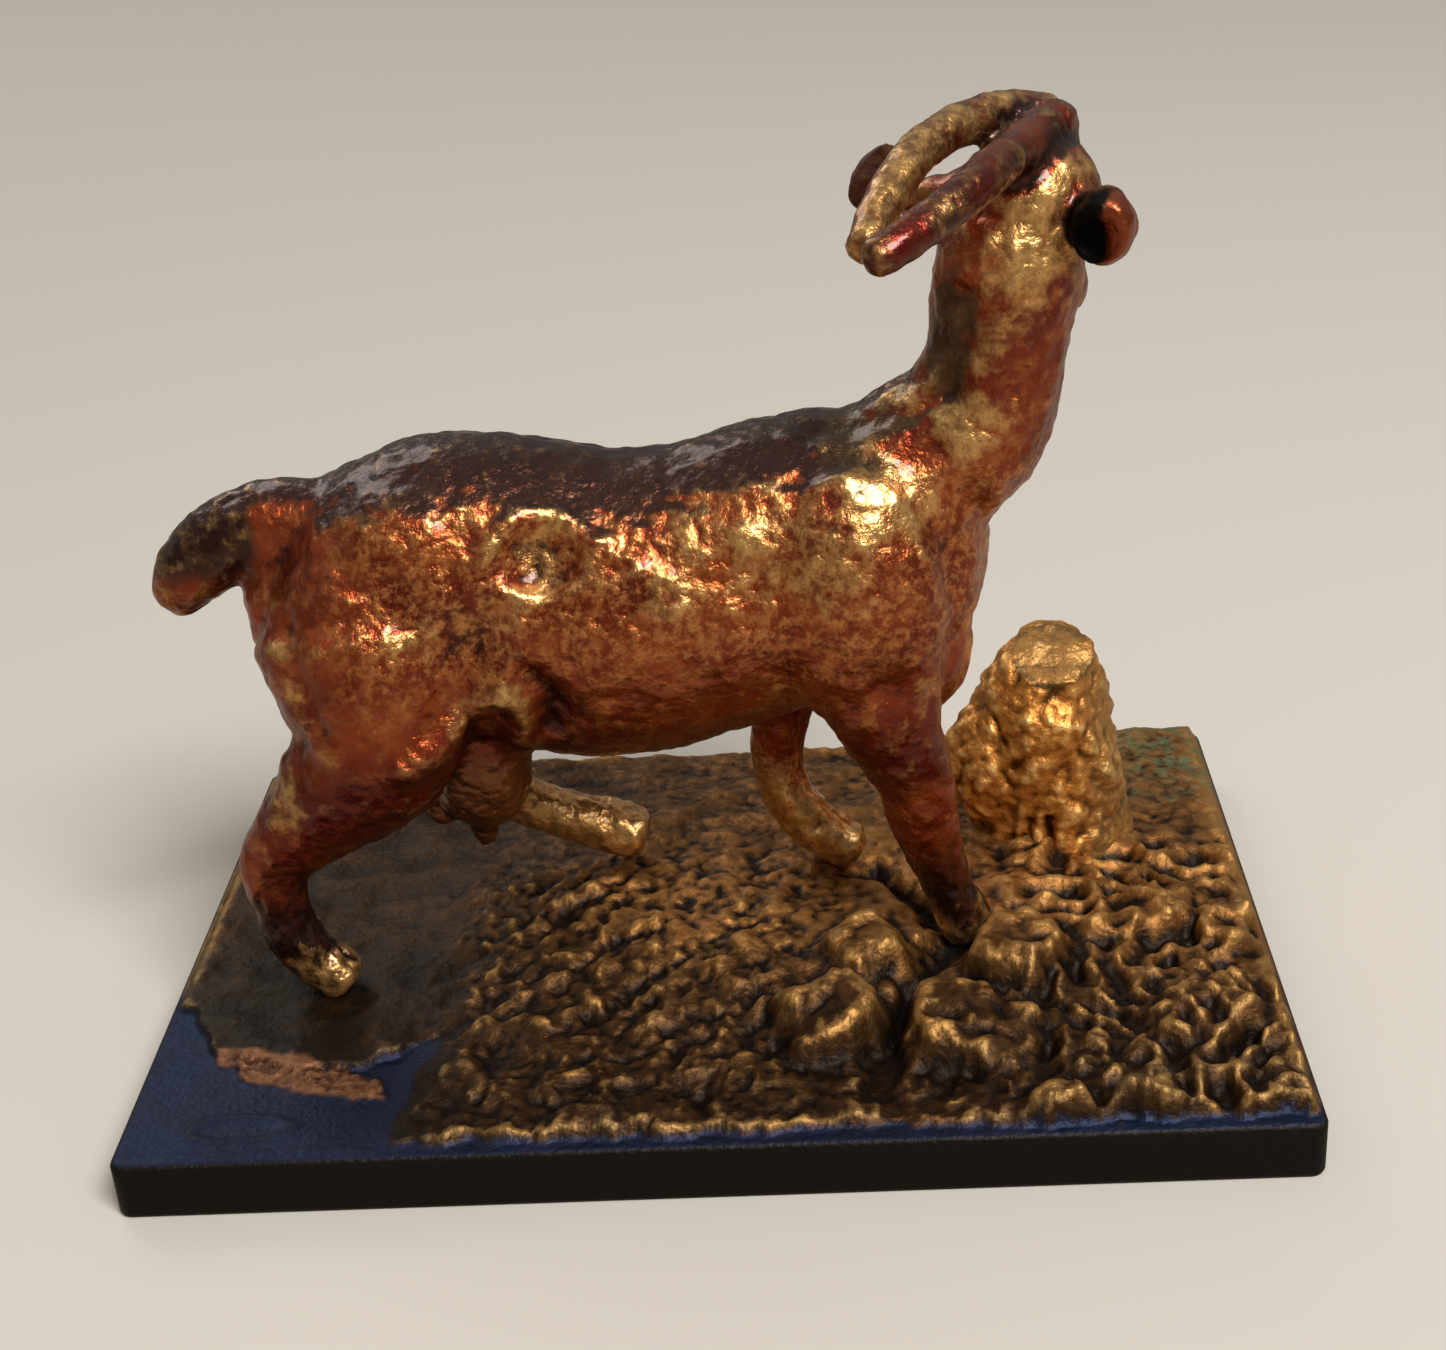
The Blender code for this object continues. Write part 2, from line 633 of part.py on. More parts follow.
def main():
    clear_scene()
    parts = collection("goat figurine")
    cutters = collection("helpers")
    clay = bmesh.new()
    add_ground(clay)
    add_stump(clay)
    add_torso(clay)
    add_muscles(clay)
    add_neck(clay)
    add_head(clay)
    add_ears(clay)
    add_horns(clay)
    add_tail(clay)
    add_udder(clay)
    add_legs(clay)
    mesh = bpy.data.meshes.new("goat_figurine")
    clay.to_mesh(mesh)
    clay.free()
    goat = bpy.data.objects.new("goat_figurine", mesh)
    parts.objects.link(goat)
    baked(goat, remesh={"mode": "VOXEL", "voxel_size": VOXEL, "adaptivity": 0.0})
    baked(goat, smooth={"factor": 0.5, "iterations": SMOOTH_PASSES})
    press(goat.data, cut_stump, press_dents)
    goat.data.calc_loop_triangles()
    share = TARGET_TRIANGLES / len(goat.data.loop_triangles)
    baked(goat, decimate={"ratio": min(share, 1.0)})
    goat.data.materials.append(bronze_material())
    union = goat.modifiers.new("Slab", "BOOLEAN")
    union.operation = "UNION"
    union.solver = "EXACT"
    union.object = slab_object(cutters)
    goat.data.shade_smooth()


main()
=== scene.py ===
"""Dresses the goat figurine: a nanny goat on rocky ground, cast in bronze in one piece with its slab.

The casting is made in three meshes that meet inside the metal: the slab with its ground, the rock
stump, and the goat. Points given are in millimetres, and so is every mesh until it is set.
"""

import math

import bmesh
import bpy
import numpy as np
from mathutils import Matrix, Vector, kdtree, noise


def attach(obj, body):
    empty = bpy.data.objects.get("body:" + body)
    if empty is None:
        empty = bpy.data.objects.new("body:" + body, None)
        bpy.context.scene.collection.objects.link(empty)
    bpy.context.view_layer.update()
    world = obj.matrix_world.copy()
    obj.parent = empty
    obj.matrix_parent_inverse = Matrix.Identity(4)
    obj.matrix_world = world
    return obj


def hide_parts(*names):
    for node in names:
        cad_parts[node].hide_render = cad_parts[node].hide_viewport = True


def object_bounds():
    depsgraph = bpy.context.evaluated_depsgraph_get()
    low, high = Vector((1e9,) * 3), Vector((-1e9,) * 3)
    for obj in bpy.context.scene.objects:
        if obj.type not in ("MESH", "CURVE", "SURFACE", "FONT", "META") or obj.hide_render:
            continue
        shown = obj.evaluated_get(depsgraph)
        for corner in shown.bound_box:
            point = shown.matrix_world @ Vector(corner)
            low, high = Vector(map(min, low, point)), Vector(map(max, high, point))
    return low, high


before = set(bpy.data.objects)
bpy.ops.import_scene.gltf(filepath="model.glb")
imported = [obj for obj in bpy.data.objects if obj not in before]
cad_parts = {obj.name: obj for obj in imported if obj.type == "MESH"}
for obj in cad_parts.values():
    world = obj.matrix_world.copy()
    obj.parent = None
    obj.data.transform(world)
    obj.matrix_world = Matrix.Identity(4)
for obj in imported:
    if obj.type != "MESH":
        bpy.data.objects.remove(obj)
cad_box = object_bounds()


# Camera
#
# It stands half as high again as the goat and looks down on its near flank, where the slab's
# four corners put it. The small roll is the one at which the picture was taken.

yaw, pitch, roll = math.radians(-3.496), math.radians(26.601), math.radians(-4.274)
sight = Vector((math.sin(yaw) * math.cos(pitch), math.cos(yaw) * math.cos(pitch), -math.sin(pitch)))
level = Vector((math.cos(yaw), -math.sin(yaw), 0.0))
upright = level.cross(sight)
across = math.cos(roll) * level + math.sin(roll) * upright
above = math.cos(roll) * upright - math.sin(roll) * level
camera = bpy.data.objects.new("camera", bpy.data.cameras.new("camera"))
bpy.context.scene.collection.objects.link(camera)
camera.matrix_world = Matrix((across, above, -sight)).transposed().to_4x4()
camera.location = (0.015386, -0.213848, 0.145071)
camera.data.lens = 55.65
camera.data.clip_start = 0.01
bpy.context.scene.camera = camera


# Slab and ground
#
# A flat rectangular slab with sawn sides. Its top was built up in wax into a low mound with
# boulders, pebbles and a crevice before casting; the left front corner and a narrow strip
# along the front were left plain.

MM = 0.001
SLAB_LOW, SLAB_HIGH = (np.array(corner) / MM for corner in cad_box)
SLAB_LENGTH = SLAB_HIGH[0] - SLAB_LOW[0]
SLAB_WIDTH = SLAB_HIGH[1] - SLAB_LOW[1]
SLAB_THICKNESS = 6.4
SLAB_CORNER = 1.5
SLAB_EDGE = 0.5
GRID_CELL = 0.37
MOUND_CENTRE, MOUND_REACH, MOUND_RISE = (5, 4), (53, 37), 3.5
SHELF_RISE = 0.9
PEBBLE_SIZE, PEBBLE_RISE = 3.0, 0.45
CRUMB_SIZE, CRUMB_RISE = 1.9, 0.26
STRATA_SPACING, STRATA_RISE = 5.2, 0.45
RIDGE_SPACING, RIDGE_RISE = 4.0, 1.4
SWELL_SIZE, SWELL_RISE = 6.5, 0.7
BOULDER_RISE = 3.4
BOULDERS = [
    # x, y, half length, half width, turn in degrees, share of the rise, lean along the length
    (32.2, -13.6, 6.2, 5.4, 65, 1.0, -0.15),
    (15.6, -12.4, 5.0, 4.4, 40, 0.70, 0.30),
    (11.8, -23.4, 6.8, 5.8, 20, 0.95, 0.35),
    (26.4, -24.8, 8.2, 7.0, -15, 0.85, -0.35),
    (34.6, -37.6, 3.4, 2.8, 0, 0.45, 0.0),
    (43.4, -37.4, 4.4, 2.8, 0, 0.50, 0.2),
    (50.0, -25.0, 7.0, 5.6, 40, 0.55, 0.3),
    (46.0, -7.0, 8.0, 4.2, 15, 0.60, 0.4),
    (55.0, -9.0, 4.2, 3.6, 60, 0.60, 0.0),
]
CREVICE_DEPTH, CREVICE_WIDTH = 2.4, 3.6
CREVICE = np.array([
    (17.5, 3.5), (22.5, -2.5), (26.6, -8.0), (21.6, -16.0), (18.6, -24.0), (16.2, -33.0)])
FRONT_MARGIN = 1.5
LEDGE_CENTRE, LEDGE_RADIUS, LEDGE_DROP = (-41.5, -7.0), 17.5, 0.9
# x, y, half length, half width
RECESS = (7.6, -25.6, 3.4, 2.2)
PLAIN_RING = (-48.0, -34.6, 5.4, 2.0)
ROUGH_STRIP = (-43.0, -26.3, 9.5, 2.6)
ROUGH_STRIP_SLOPE = 0.36


def eased(value):
    """0 to 1 with a soft start and end."""
    value = np.clip(value, 0.0, 1.0)
    return value * value * (3 - 2 * value)


def grain(points, size, seed=0.0):
    """Smooth noise, about -1 to 1, with lumps of the given size."""
    return np.array([noise.noise(point) for point in (points / size + seed).tolist()])


def cells(points, size, seed=0.0, uneven=0.0):
    """1 at the middle of each cell and falling towards its rim; uneven lowers some cells."""
    values = []
    for point in (points / size + seed).tolist():
        apart, middles = noise.voronoi(point)
        values.append((1 - 2.2 * apart[0] ** 2) * (1 - uneven * noise.cell(middles[0] * 7.3)))
    return np.array(values)


def distance_to_run(points, run):
    """How far each point lies from the line through a run of points."""
    nearest = np.full(len(points), np.inf)
    for start, end in zip(run, run[1:]):
        way = end - start
        along = np.clip((points - start) @ way / (way @ way), 0, 1)[:, None]
        nearest = np.minimum(nearest, np.linalg.norm(points - start - along * way, axis=1))
    return nearest


def rough_strip(x, y):
    """The strip of rough metal in front of the ledge, 1 inside it and 0 outside."""
    spots = np.column_stack([x, y, np.zeros_like(x)])
    middle_x, middle_y, half_length, half_width = ROUGH_STRIP
    aside = y - middle_y + ROUGH_STRIP_SLOPE * (x - middle_x)
    apart = np.hypot((x - middle_x) / half_length, aside / half_width)
    apart += 0.35 * grain(spots, 2.8, 45.0) + 0.2 * grain(spots, 1.1, 47.0)
    return eased((1.1 - apart) / 0.3)


def ground_height(x, y, fine=True):
    """Height of the modelled ground over the table; fine adds what is smaller than a pebble."""
    spots = np.column_stack([x, y, np.zeros_like(x)])
    reach = np.hypot((x - MOUND_CENTRE[0]) / MOUND_REACH[0], (y - MOUND_CENTRE[1]) / MOUND_REACH[1])
    height = MOUND_RISE * (1 - eased((reach - 0.28) / 0.72)) + SHELF_RISE * eased((x - 22) / 16)
    bent = spots.copy()
    if fine:
        bent[:, 0] += 1.0 * grain(spots, 4.0, 31.0) + 0.45 * grain(spots, 1.4, 33.0)
        bent[:, 1] += 1.0 * grain(spots, 4.0, 37.0) + 0.45 * grain(spots, 1.4, 39.0)
    boulders = np.zeros_like(x)
    steep = 0.4 if fine else 0.45
    for bx, by, half_length, half_width, degrees, share, lean in BOULDERS:
        turn = math.radians(degrees)
        along = (bent[:, :2] - (bx, by)) @ (math.cos(turn), math.sin(turn)) / half_length
        aside = (bent[:, :2] - (bx, by)) @ (-math.sin(turn), math.cos(turn)) / half_width
        apart = (np.abs(along) ** 3 + np.abs(aside) ** 3) ** (1 / 3)
        boulders = np.maximum(boulders, share * (1 + lean * along) * eased((1 - apart) / steep))
    height += BOULDER_RISE * boulders
    pebbles = eased((x + 33) / 9) * (1 - eased((y - 2) / 12)) * (1 - eased((x - 4) / 8))
    slant = np.column_stack([
        (bent[:, 0] + bent[:, 1]) / 2.6, bent[:, 1] - bent[:, 0], np.full_like(x, 5.0 * STRATA_SPACING)])
    strata = 1 - 3.2 * np.abs(grain(slant, STRATA_SPACING))
    height += pebbles * (STRATA_RISE * strata + PEBBLE_RISE * cells(bent, PEBBLE_SIZE))
    rough = eased((x - 26) / 12) * (1 - eased((y - 6) / 10))
    net = 0.6 - 2.2 * np.abs(grain(spots, RIDGE_SPACING))
    net += 0.5 * grain(spots + (0, 0, 9.0), RIDGE_SPACING / 2)
    height += RIDGE_RISE * rough * net
    height += SWELL_RISE * grain(spots, SWELL_SIZE, (0, 0, 7.0)) * eased((x + 38) / 14)
    crevice = distance_to_run(bent[:, :2], CREVICE) / (CREVICE_WIDTH / 2)
    height -= CREVICE_DEPTH * np.exp(-(crevice**2))
    ledge = np.hypot(x - LEDGE_CENTRE[0], np.minimum(y - LEDGE_CENTRE[1], 0.0))
    if fine:
        ledge += 1.6 * grain(spots, 5.5, 11.0) + 0.7 * grain(spots, 2.0, 13.0)
    height -= LEDGE_DROP * eased((ledge - LEDGE_RADIUS) / 0.9) * (1 - eased((x + 34) / 8))
    height = LEDGE_DROP + np.maximum(height, -LEDGE_DROP)
    if fine:
        front = y + SLAB_WIDTH / 2 - FRONT_MARGIN
        front = front - 1.1 * grain(spots, 3.6, 49.0) - 0.4 * grain(spots, 1.3, 51.0)
        height = 0.1 + (height - 0.1) * eased(front / 0.9)
        worked = eased(height / 0.8)
        recess = np.hypot((x - RECESS[0]) / RECESS[2], (y - RECESS[1]) / RECESS[3])
        height -= 1.6 * np.exp(-(recess**2))
        lumps = 2.4 * np.abs(grain(bent, CRUMB_SIZE, 4.0)) - 0.5
        lumps_fine = 2.0 * np.abs(grain(bent, CRUMB_SIZE / 2, 6.0)) - 0.4
        smooth = (0.3 + 0.7 * eased((x + 36) / 14)) * (1 - 0.4 * eased(y / 10))
        gravel = np.maximum(pebbles, 0.6 * eased((-y - 22) / 8))
        height += worked * smooth * CRUMB_RISE * (0.3 + 0.7 * gravel) * (lumps + 0.5 * lumps_fine)
        facets = 0.3 - np.abs(grain(bent, (2.6, 1.9, 1.0), 9.0))
        height += worked * 0.7 * rough * facets + 0.6 * (boulders > 0.2) * grain(bent, 2.4, 19.0)
        height += worked * smooth * (0.16 * grain(bent, 1.3, 2.0) + 0.09 * grain(spots, 0.7, 5.0))
        height += worked * (0.50 * grain(spots, 4.2, 15.0) + 0.42 * smooth * grain(bent, 1.9, 21.0))
        height += worked * 0.24 * smooth * grain(bent, 1.0, 23.0) + 0.05 * grain(spots, 5.0, 6.0)
        crust = 0.4 + 0.5 * lumps_fine + 0.2 * grain(spots, 0.9, 8.0)
        height = np.maximum(height, rough_strip(x, y) * crust)
        apart = np.hypot((x - PLAIN_RING[0]) / PLAIN_RING[2], (y - PLAIN_RING[1]) / PLAIN_RING[3])
        height += 0.28 * np.exp(-(((apart - 1) * PLAIN_RING[3] / 0.42) ** 2))
    inner = np.minimum(SLAB_LENGTH / 2 - np.abs(x), SLAB_WIDTH / 2 - np.abs(y))
    return SLAB_THICKNESS + np.maximum(height, 0.0) * eased((inner - 0.5) / 1.1)


def set_points(mesh, points):
    """Sets a mesh's vertices from points in millimetres."""
    mesh.vertices.foreach_set("co", (np.asarray(points) * MM).astype(np.float32).ravel())
    mesh.update()


def set_shares(mesh, **shares):
    """Keeps named shares from 0 to 1 with each vertex, for the material to read."""
    for name, values in shares.items():
        layer = mesh.attributes.new(name, "FLOAT", "POINT")
        layer.data.foreach_set("value", np.clip(values, 0, 1).astype(np.float32))


def relief(mesh, points, normals, steps):
    """How far each vertex stands out from its surroundings, so many edges wide, along its normal."""
    edges = np.empty(2 * len(mesh.edges), np.int32)
    mesh.edges.foreach_get("vertices", edges)
    edges = edges.reshape(-1, 2)
    from_end = np.concatenate([edges[:, 0], edges[:, 1]])
    to_end = np.concatenate([edges[:, 1], edges[:, 0]])
    degree = np.bincount(from_end, minlength=len(points))
    around = points.copy()
    for _ in range(steps):
        for axis in range(3):
            mean = np.bincount(from_end, around[to_end, axis], len(points)) / degree
            around[:, axis] = 0.5 * (around[:, axis] + mean)
    return np.einsum("ij,ij->i", points - around, normals)


def vertex_normals(mesh):
    values = np.empty(3 * len(mesh.vertices), np.float32)
    mesh.vertex_normals.foreach_get("vector", values)
    return values.reshape(-1, 3).astype(float)


def linear(code):
    """An sRGB hex colour as linear values."""
    parts = [int(code[i:i + 2], 16) / 255 for i in (1, 3, 5)]
    parts = [part / 12.92 if part <= 0.04045 else ((part + 0.055) / 1.055) ** 2.4 for part in parts]
    return (*parts, 1.0)


def add_node(tree, kind, sockets=None, **settings):
    """Adds a shader node, sets its settings, and sets or links its sockets."""
    node = tree.nodes.new("ShaderNode" + kind)
    for name, value in settings.items():
        setattr(node, name, value)
    for socket, value in (sockets or {}).items():
        if isinstance(value, bpy.types.NodeSocket):
            tree.links.new(value, node.inputs[socket])
        else:
            node.inputs[socket].default_value = value
    return node


def new_material(name):
    """An empty material with a Principled shader, and its tree and shader."""
    material = bpy.data.materials.new(name)
    material.use_nodes = True
    return material, material.node_tree, material.node_tree.nodes["Principled BSDF"]


def lay_coats(tree, coats):
    """Lays coats of colour over one another, and returns the last one's.

    A coat lies where a socket says, or fades in over a range of it, from a least to a most share.
    What is under it, and what it is, are hex colours or the names of earlier coats.
    """
    laid = {}
    for name, share, under, colour in coats:
        if isinstance(share, tuple):
            source, start, end, least, most = share
            share = add_node(tree, "MapRange", {
                "Value": source, "From Min": start, "From Max": end, "To Min": least, "To Max": most,
            }, interpolation_type="SMOOTHSTEP").outputs[0]
        low, full = (laid[tone] if tone in laid else linear(tone) for tone in (under, colour))
        laid[name] = add_node(tree, "Mix", {0: share, 6: low, 7: full}, data_type="RGBA").outputs[2]
    return laid[name]


def finish_metal(tree, shader, colour, gloss, grit_size, grit_depth, strength):
    """Gives a cast metal its colour and gloss, and grit of a size and depth in millimetres."""
    place = add_node(tree, "TexCoord").outputs["Object"]
    grit = add_node(tree, "TexNoise", {"Vector": place, "Scale": 1 / (grit_size * MM), "Detail": 4.0})
    bump = add_node(tree, "Bump", {
        "Height": grit.outputs["Fac"], "Strength": strength, "Distance": grit_depth * MM})
    for name, source in (("Base Color", colour), ("Roughness", gloss), ("Normal", bump.outputs[0])):
        tree.links.new(source, shader.inputs[name])


columns, rows = round(SLAB_LENGTH / GRID_CELL), round(SLAB_WIDTH / GRID_CELL)
slab = bmesh.new()
bmesh.ops.create_grid(slab, x_segments=columns, y_segments=rows, size=1.0)
rim = [edge for edge in slab.edges if edge.is_boundary]
rings = [
    # inset from the slab's outline, height over the table
    (0.15, SLAB_THICKNESS - 0.15),
    (0.0, SLAB_THICKNESS - SLAB_EDGE),
    (0.0, 0.65 * SLAB_THICKNESS),
    (0.0, 0.35 * SLAB_THICKNESS),
    (0.0, SLAB_EDGE),
    (0.15, 0.15),
    (SLAB_EDGE, 0.0),
]
layers = []
for _ in rings:
    lower = bmesh.ops.extrude_edge_only(slab, edges=rim)["geom"]
    layers.append([item for item in lower if isinstance(item, bmesh.types.BMVert)])
    rim = [item for item in lower if isinstance(item, bmesh.types.BMEdge) and item.is_boundary]
bmesh.ops.contextual_create(slab, geom=rim)
slab.verts.index_update()
unit_square = np.array([vert.co[:2] for vert in slab.verts])
inset = np.full(len(unit_square), SLAB_EDGE)
height = np.zeros(len(unit_square))
top = np.ones(len(unit_square), bool)
for (shrink, level_z), verts in zip(rings, layers):
    indices = [vert.index for vert in verts]
    inset[indices] = shrink
    height[indices] = level_z
    top[indices] = False
outline = np.array([SLAB_LENGTH / 2, SLAB_WIDTH / 2]) - inset[:, None]
spots = unit_square * outline
corner = SLAB_CORNER - inset
past = np.abs(spots) - (outline - corner[:, None])
both = (past > 0).all(axis=1)
rounded = past[both] * (past[both].max(axis=1) / np.linalg.norm(past[both], axis=1))[:, None]
spots[both] = np.sign(spots[both]) * ((outline - corner[:, None])[both] + rounded)
height[top] = ground_height(spots[top, 0], spots[top, 1])
ground_points = np.column_stack([spots, height])
ground_mesh = bpy.data.meshes.new("ground_bronze")
bmesh.ops.recalc_face_normals(slab, faces=slab.faces)
slab.to_mesh(ground_mesh)
slab.free()
set_points(ground_mesh, ground_points)
ground_mesh.shade_smooth()
ground = bpy.data.objects.new("ground_bronze", ground_mesh)
bpy.context.scene.collection.objects.link(ground)

x, y, z = ground_points.T
normals = vertex_normals(ground_mesh)
stands_out = relief(ground_mesh, ground_points, normals, steps=14)
stands_wide = relief(ground_mesh, ground_points, normals, steps=90)
blotch = grain(ground_points, 6.0, 41.0) + 0.5 * grain(ground_points, 2.5, 43.0)
bare = np.maximum(eased((-24 - x + 4 * blotch) / 4) * eased((-8 - y) / 4), eased((-36.4 - y) / 0.5))
plain = eased((0.45 - (z - SLAB_THICKNESS)) / 0.3) * bare
plain[~top] = 1.0
green = eased((x - 43 + 5 * blotch) / 7) * eased((y - 19 + 5 * blotch) / 8)
warm = eased((x + 30) / 40) * eased((y + 23) / 20) + 0.45 * eased((18 - np.hypot(x + 2, y - 1)) / 11)
warm += 0.5 * eased((x - 36) / 12) * eased((y - 10) / 16)
# Painted shadow of the goat over the left of the ground, mixed with real dark dirt; the same share also
# darkens the ground towards the front and in random blotches.
shade = eased((-22 - x) / 12) * (0.35 + 0.65 * eased((2 - y) / 12))
set_shares(
    ground_mesh,
    high=0.5 + stands_out / 1.15 + stands_wide / 2.6,
    plain=plain,
    side=(~top).astype(float),
    verdigris=green * top,
    warm=warm + 0.4 * blotch,
    grey=shade + 0.4 * eased((-26 - y) / 8) + 0.5 * blotch,
    copper=rough_strip(x, y) * top,
)

# Bronze with an umber patina: near black in the pits, brown on the faces and pale on the tips that
# are rubbed. The plain corner and rim are near black, with a painted blue sheen on their tops that
# stands for bluish light mirrored in the dark metal, and the far right corner has some verdigris. A
# painted shadow of the goat darkens the left of the ground.

material, tree, shader = new_material("ground_umber_patina")
place = add_node(tree, "TexCoord").outputs["Object"]
high, warm, grey, copper, plain, side, green = (
    add_node(tree, "Attribute", attribute_name=name).outputs["Fac"]
    for name in ("high", "warm", "grey", "copper", "plain", "side", "verdigris"))
cloud, speck = (
    add_node(tree, "TexNoise", {
        "Vector": place, "Scale": 1 / (size * MM), "Detail": detail, "Roughness": roughness,
    }).outputs["Fac"]
    for size, detail, roughness in ((9, 3.0, 0.5), (1.6, 5.0, 0.7)))
mottled = add_node(tree, "Math", {0: speck, 1: 0.9, 2: high}, operation="MULTIPLY_ADD").outputs[0]
not_copper = add_node(tree, "Math", {0: 1.0, 1: copper}, operation="SUBTRACT").outputs[0]
plain_part = add_node(tree, "Math", {0: plain, 1: not_copper}, operation="MULTIPLY").outputs[0]
on_faces = (mottled, 0.62, 1.18, 0.0, 1.0)
colour = lay_coats(tree, [
    # coat, where it lies, what lies under it, what it is
    ("umber", cloud, "#3c2510", "#5e3f1c"),
    ("warm", warm, "umber", "#956430"),
    # Painted shadow and dirt: the ground turns dark brown where this share lies, and its rubbed tips
    # turn duller.
    ("grey", grey, "warm", "#241a10"),
    ("faces", on_faces, "#1c1108", "grey"),
    ("tip", grey, "#a87c42", "#6d5a3c"),
    ("tips", (mottled, 1.12, 1.55, 0.0, 1.0), "faces", "tip"),
    ("rough strip", on_faces, "#4a2d1b", "#855a3d"),
    ("copper", copper, "tips", "rough strip"),
    # Painted reflection: the plain metal's blue tint stands for bluish light mirrored in its dark gloss.
    ("plate_with_painted_blue_sheen", cloud, "#111729", "#232d47"),
    ("side", side, "plate_with_painted_blue_sheen", "#1c1712"),
    ("plain", plain_part, "copper", "side"),
    ("verdigris", (speck, 0.42, 0.62, 0.0, green), "plain", "#6b7350"),
])
gloss = add_node(tree, "MapRange", {"Value": speck, "To Min": 0.38, "To Max": 0.64}).outputs[0]
finish_metal(tree, shader, colour, gloss, grit_size=0.7, grit_depth=0.24, strength=0.8)
shader.inputs["Metallic"].default_value = 0.8
ground_mesh.materials.append(material)
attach(ground, "root")
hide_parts("goat_figurine")


# Rock stump
#
# A stub of rock as high as the goat's knees, with a slanting broken top, in the same metal.
# Its wax was pinched up with a tool, so its face is all small ridges that catch wear.

STUMP_TOP = 35.2
STUMP_WIDTH = 17.0
STUMP_CUT_SLOPE = 0.5
STUMP_SLOT_DEPTH = 1.5
STUMP_SLOTS = [
    # x, y, foot, head, half width
    (35.2, 6.9, 9.5, 13.5, 0.75),
    (37.9, 6.6, 9.5, 13.8, 0.7),
]
STUMP_STATIONS = [
    # share of the rise, x, y, share of the width
    (0.0, 38.6, 15.4, 1.22),
    (0.23, 38.4, 15.0, 1.07),
    (0.53, 37.9, 14.4, 0.98),
    (0.70, 38.2, 14.0, 0.88),
    (0.83, 38.9, 13.7, 0.72),
    (0.93, 39.4, 13.4, 0.52),
]


def smooth_run(rows, steps=8):
    """The rows joined by a Catmull-Rom curve through each of them."""
    rows = np.array(rows, float)
    padded = np.vstack([2 * rows[0] - rows[1], rows, 2 * rows[-1] - rows[-2]])
    run = []
    for a, b, c, d in zip(padded, padded[1:], padded[2:], padded[3:]):
        for step in range(steps):
            t = step / steps
            bend = (2 * a - 5 * b + 4 * c - d) * t * t + (3 * b - a - 3 * c + d) * t**3
            run.append(0.5 * (2 * b + (c - a) * t + bend))
    run.append(rows[-1])
    return np.array(run)


def unit(rows):
    return rows / np.linalg.norm(rows, axis=-1, keepdims=True)


def add_loft(clay, stations, depth_axis, roundness=0.6, sides=40):
    """A closed limb through stations (x, y, z, half width, half depth), with domed ends."""
    run = smooth_run(stations)
    centres, radii = run[:, :3], run[:, 3:]
    tangents = unit(np.gradient(centres, axis=0))
    dome = [math.radians(angle) for angle in (82, 66, 50, 34, 17)]
    rings = []
    for angle in dome:
        back = roundness * radii[0].mean() * math.sin(angle)
        rings.append((centres[0] - back * tangents[0], radii[0] * math.cos(angle), tangents[0]))
    rings += list(zip(centres, radii, tangents))
    for angle in reversed(dome):
        ahead = roundness * radii[-1].mean() * math.sin(angle)
        rings.append((centres[-1] + ahead * tangents[-1], radii[-1] * math.cos(angle), tangents[-1]))
    turns = np.linspace(0, 2 * math.pi, sides, endpoint=False)
    loops = []
    for centre, (half_width, half_depth), tangent in rings:
        side = unit(np.cross(tangent, depth_axis))
        depth = np.cross(side, tangent)
        ring = [
            centre + half_width * math.cos(turn) * side + half_depth * math.sin(turn) * depth
            for turn in turns
        ]
        loops.append([clay.verts.new(point) for point in ring])
    faces = [clay.faces.new(loops[0]), clay.faces.new(loops[-1])]
    for near, far in zip(loops, loops[1:]):
        for i in range(sides):
            j = (i + 1) % sides
            faces.append(clay.faces.new((near[i], near[j], far[j], far[i])))
    bmesh.ops.recalc_face_normals(clay, faces=faces)


def add_lump(clay, centre, radii, axes=Matrix.Identity(3), hollow=0.0):
    """An ellipsoid; hollow pushes its upper half in, to leave a cup."""
    made = bmesh.ops.create_uvsphere(clay, u_segments=40, v_segments=24, radius=1.0)
    for vert in made["verts"]:
        x, y, z = vert.co
        if z > 0:
            z *= 1 - hollow
        vert.co = Vector(centre) + axes @ Vector((x * radii[0], y * radii[1], z * radii[2]))


def baked(item, **modifiers):
    """Replaces an object's mesh with what its modifiers make."""
    for kind, settings in modifiers.items():
        modifier = item.modifiers.new(kind, kind.upper())
        for key, value in settings.items():
            setattr(modifier, key, value)
    graph = bpy.context.evaluated_depsgraph_get()
    result = bpy.data.meshes.new_from_object(item.evaluated_get(graph))
    item.modifiers.clear()
    item.data = result


def skin(clay, name, voxel, softness):
    """One closed skin around all of the clay, softened as wax is by a warm finger."""
    mesh = bpy.data.meshes.new(name)
    clay.to_mesh(mesh)
    clay.free()
    item = bpy.data.objects.new(name, mesh)
    bpy.context.scene.collection.objects.link(item)
    baked(item, remesh={"mode": "VOXEL", "voxel_size": voxel, "adaptivity": 0.0})
    baked(item, smooth={"factor": 0.5, "iterations": round(8 * softness / voxel**2)})
    return item


def mesh_points(mesh):
    points = np.empty(3 * len(mesh.vertices), np.float32)
    mesh.vertices.foreach_get("co", points)
    return points.reshape(-1, 3).astype(float)


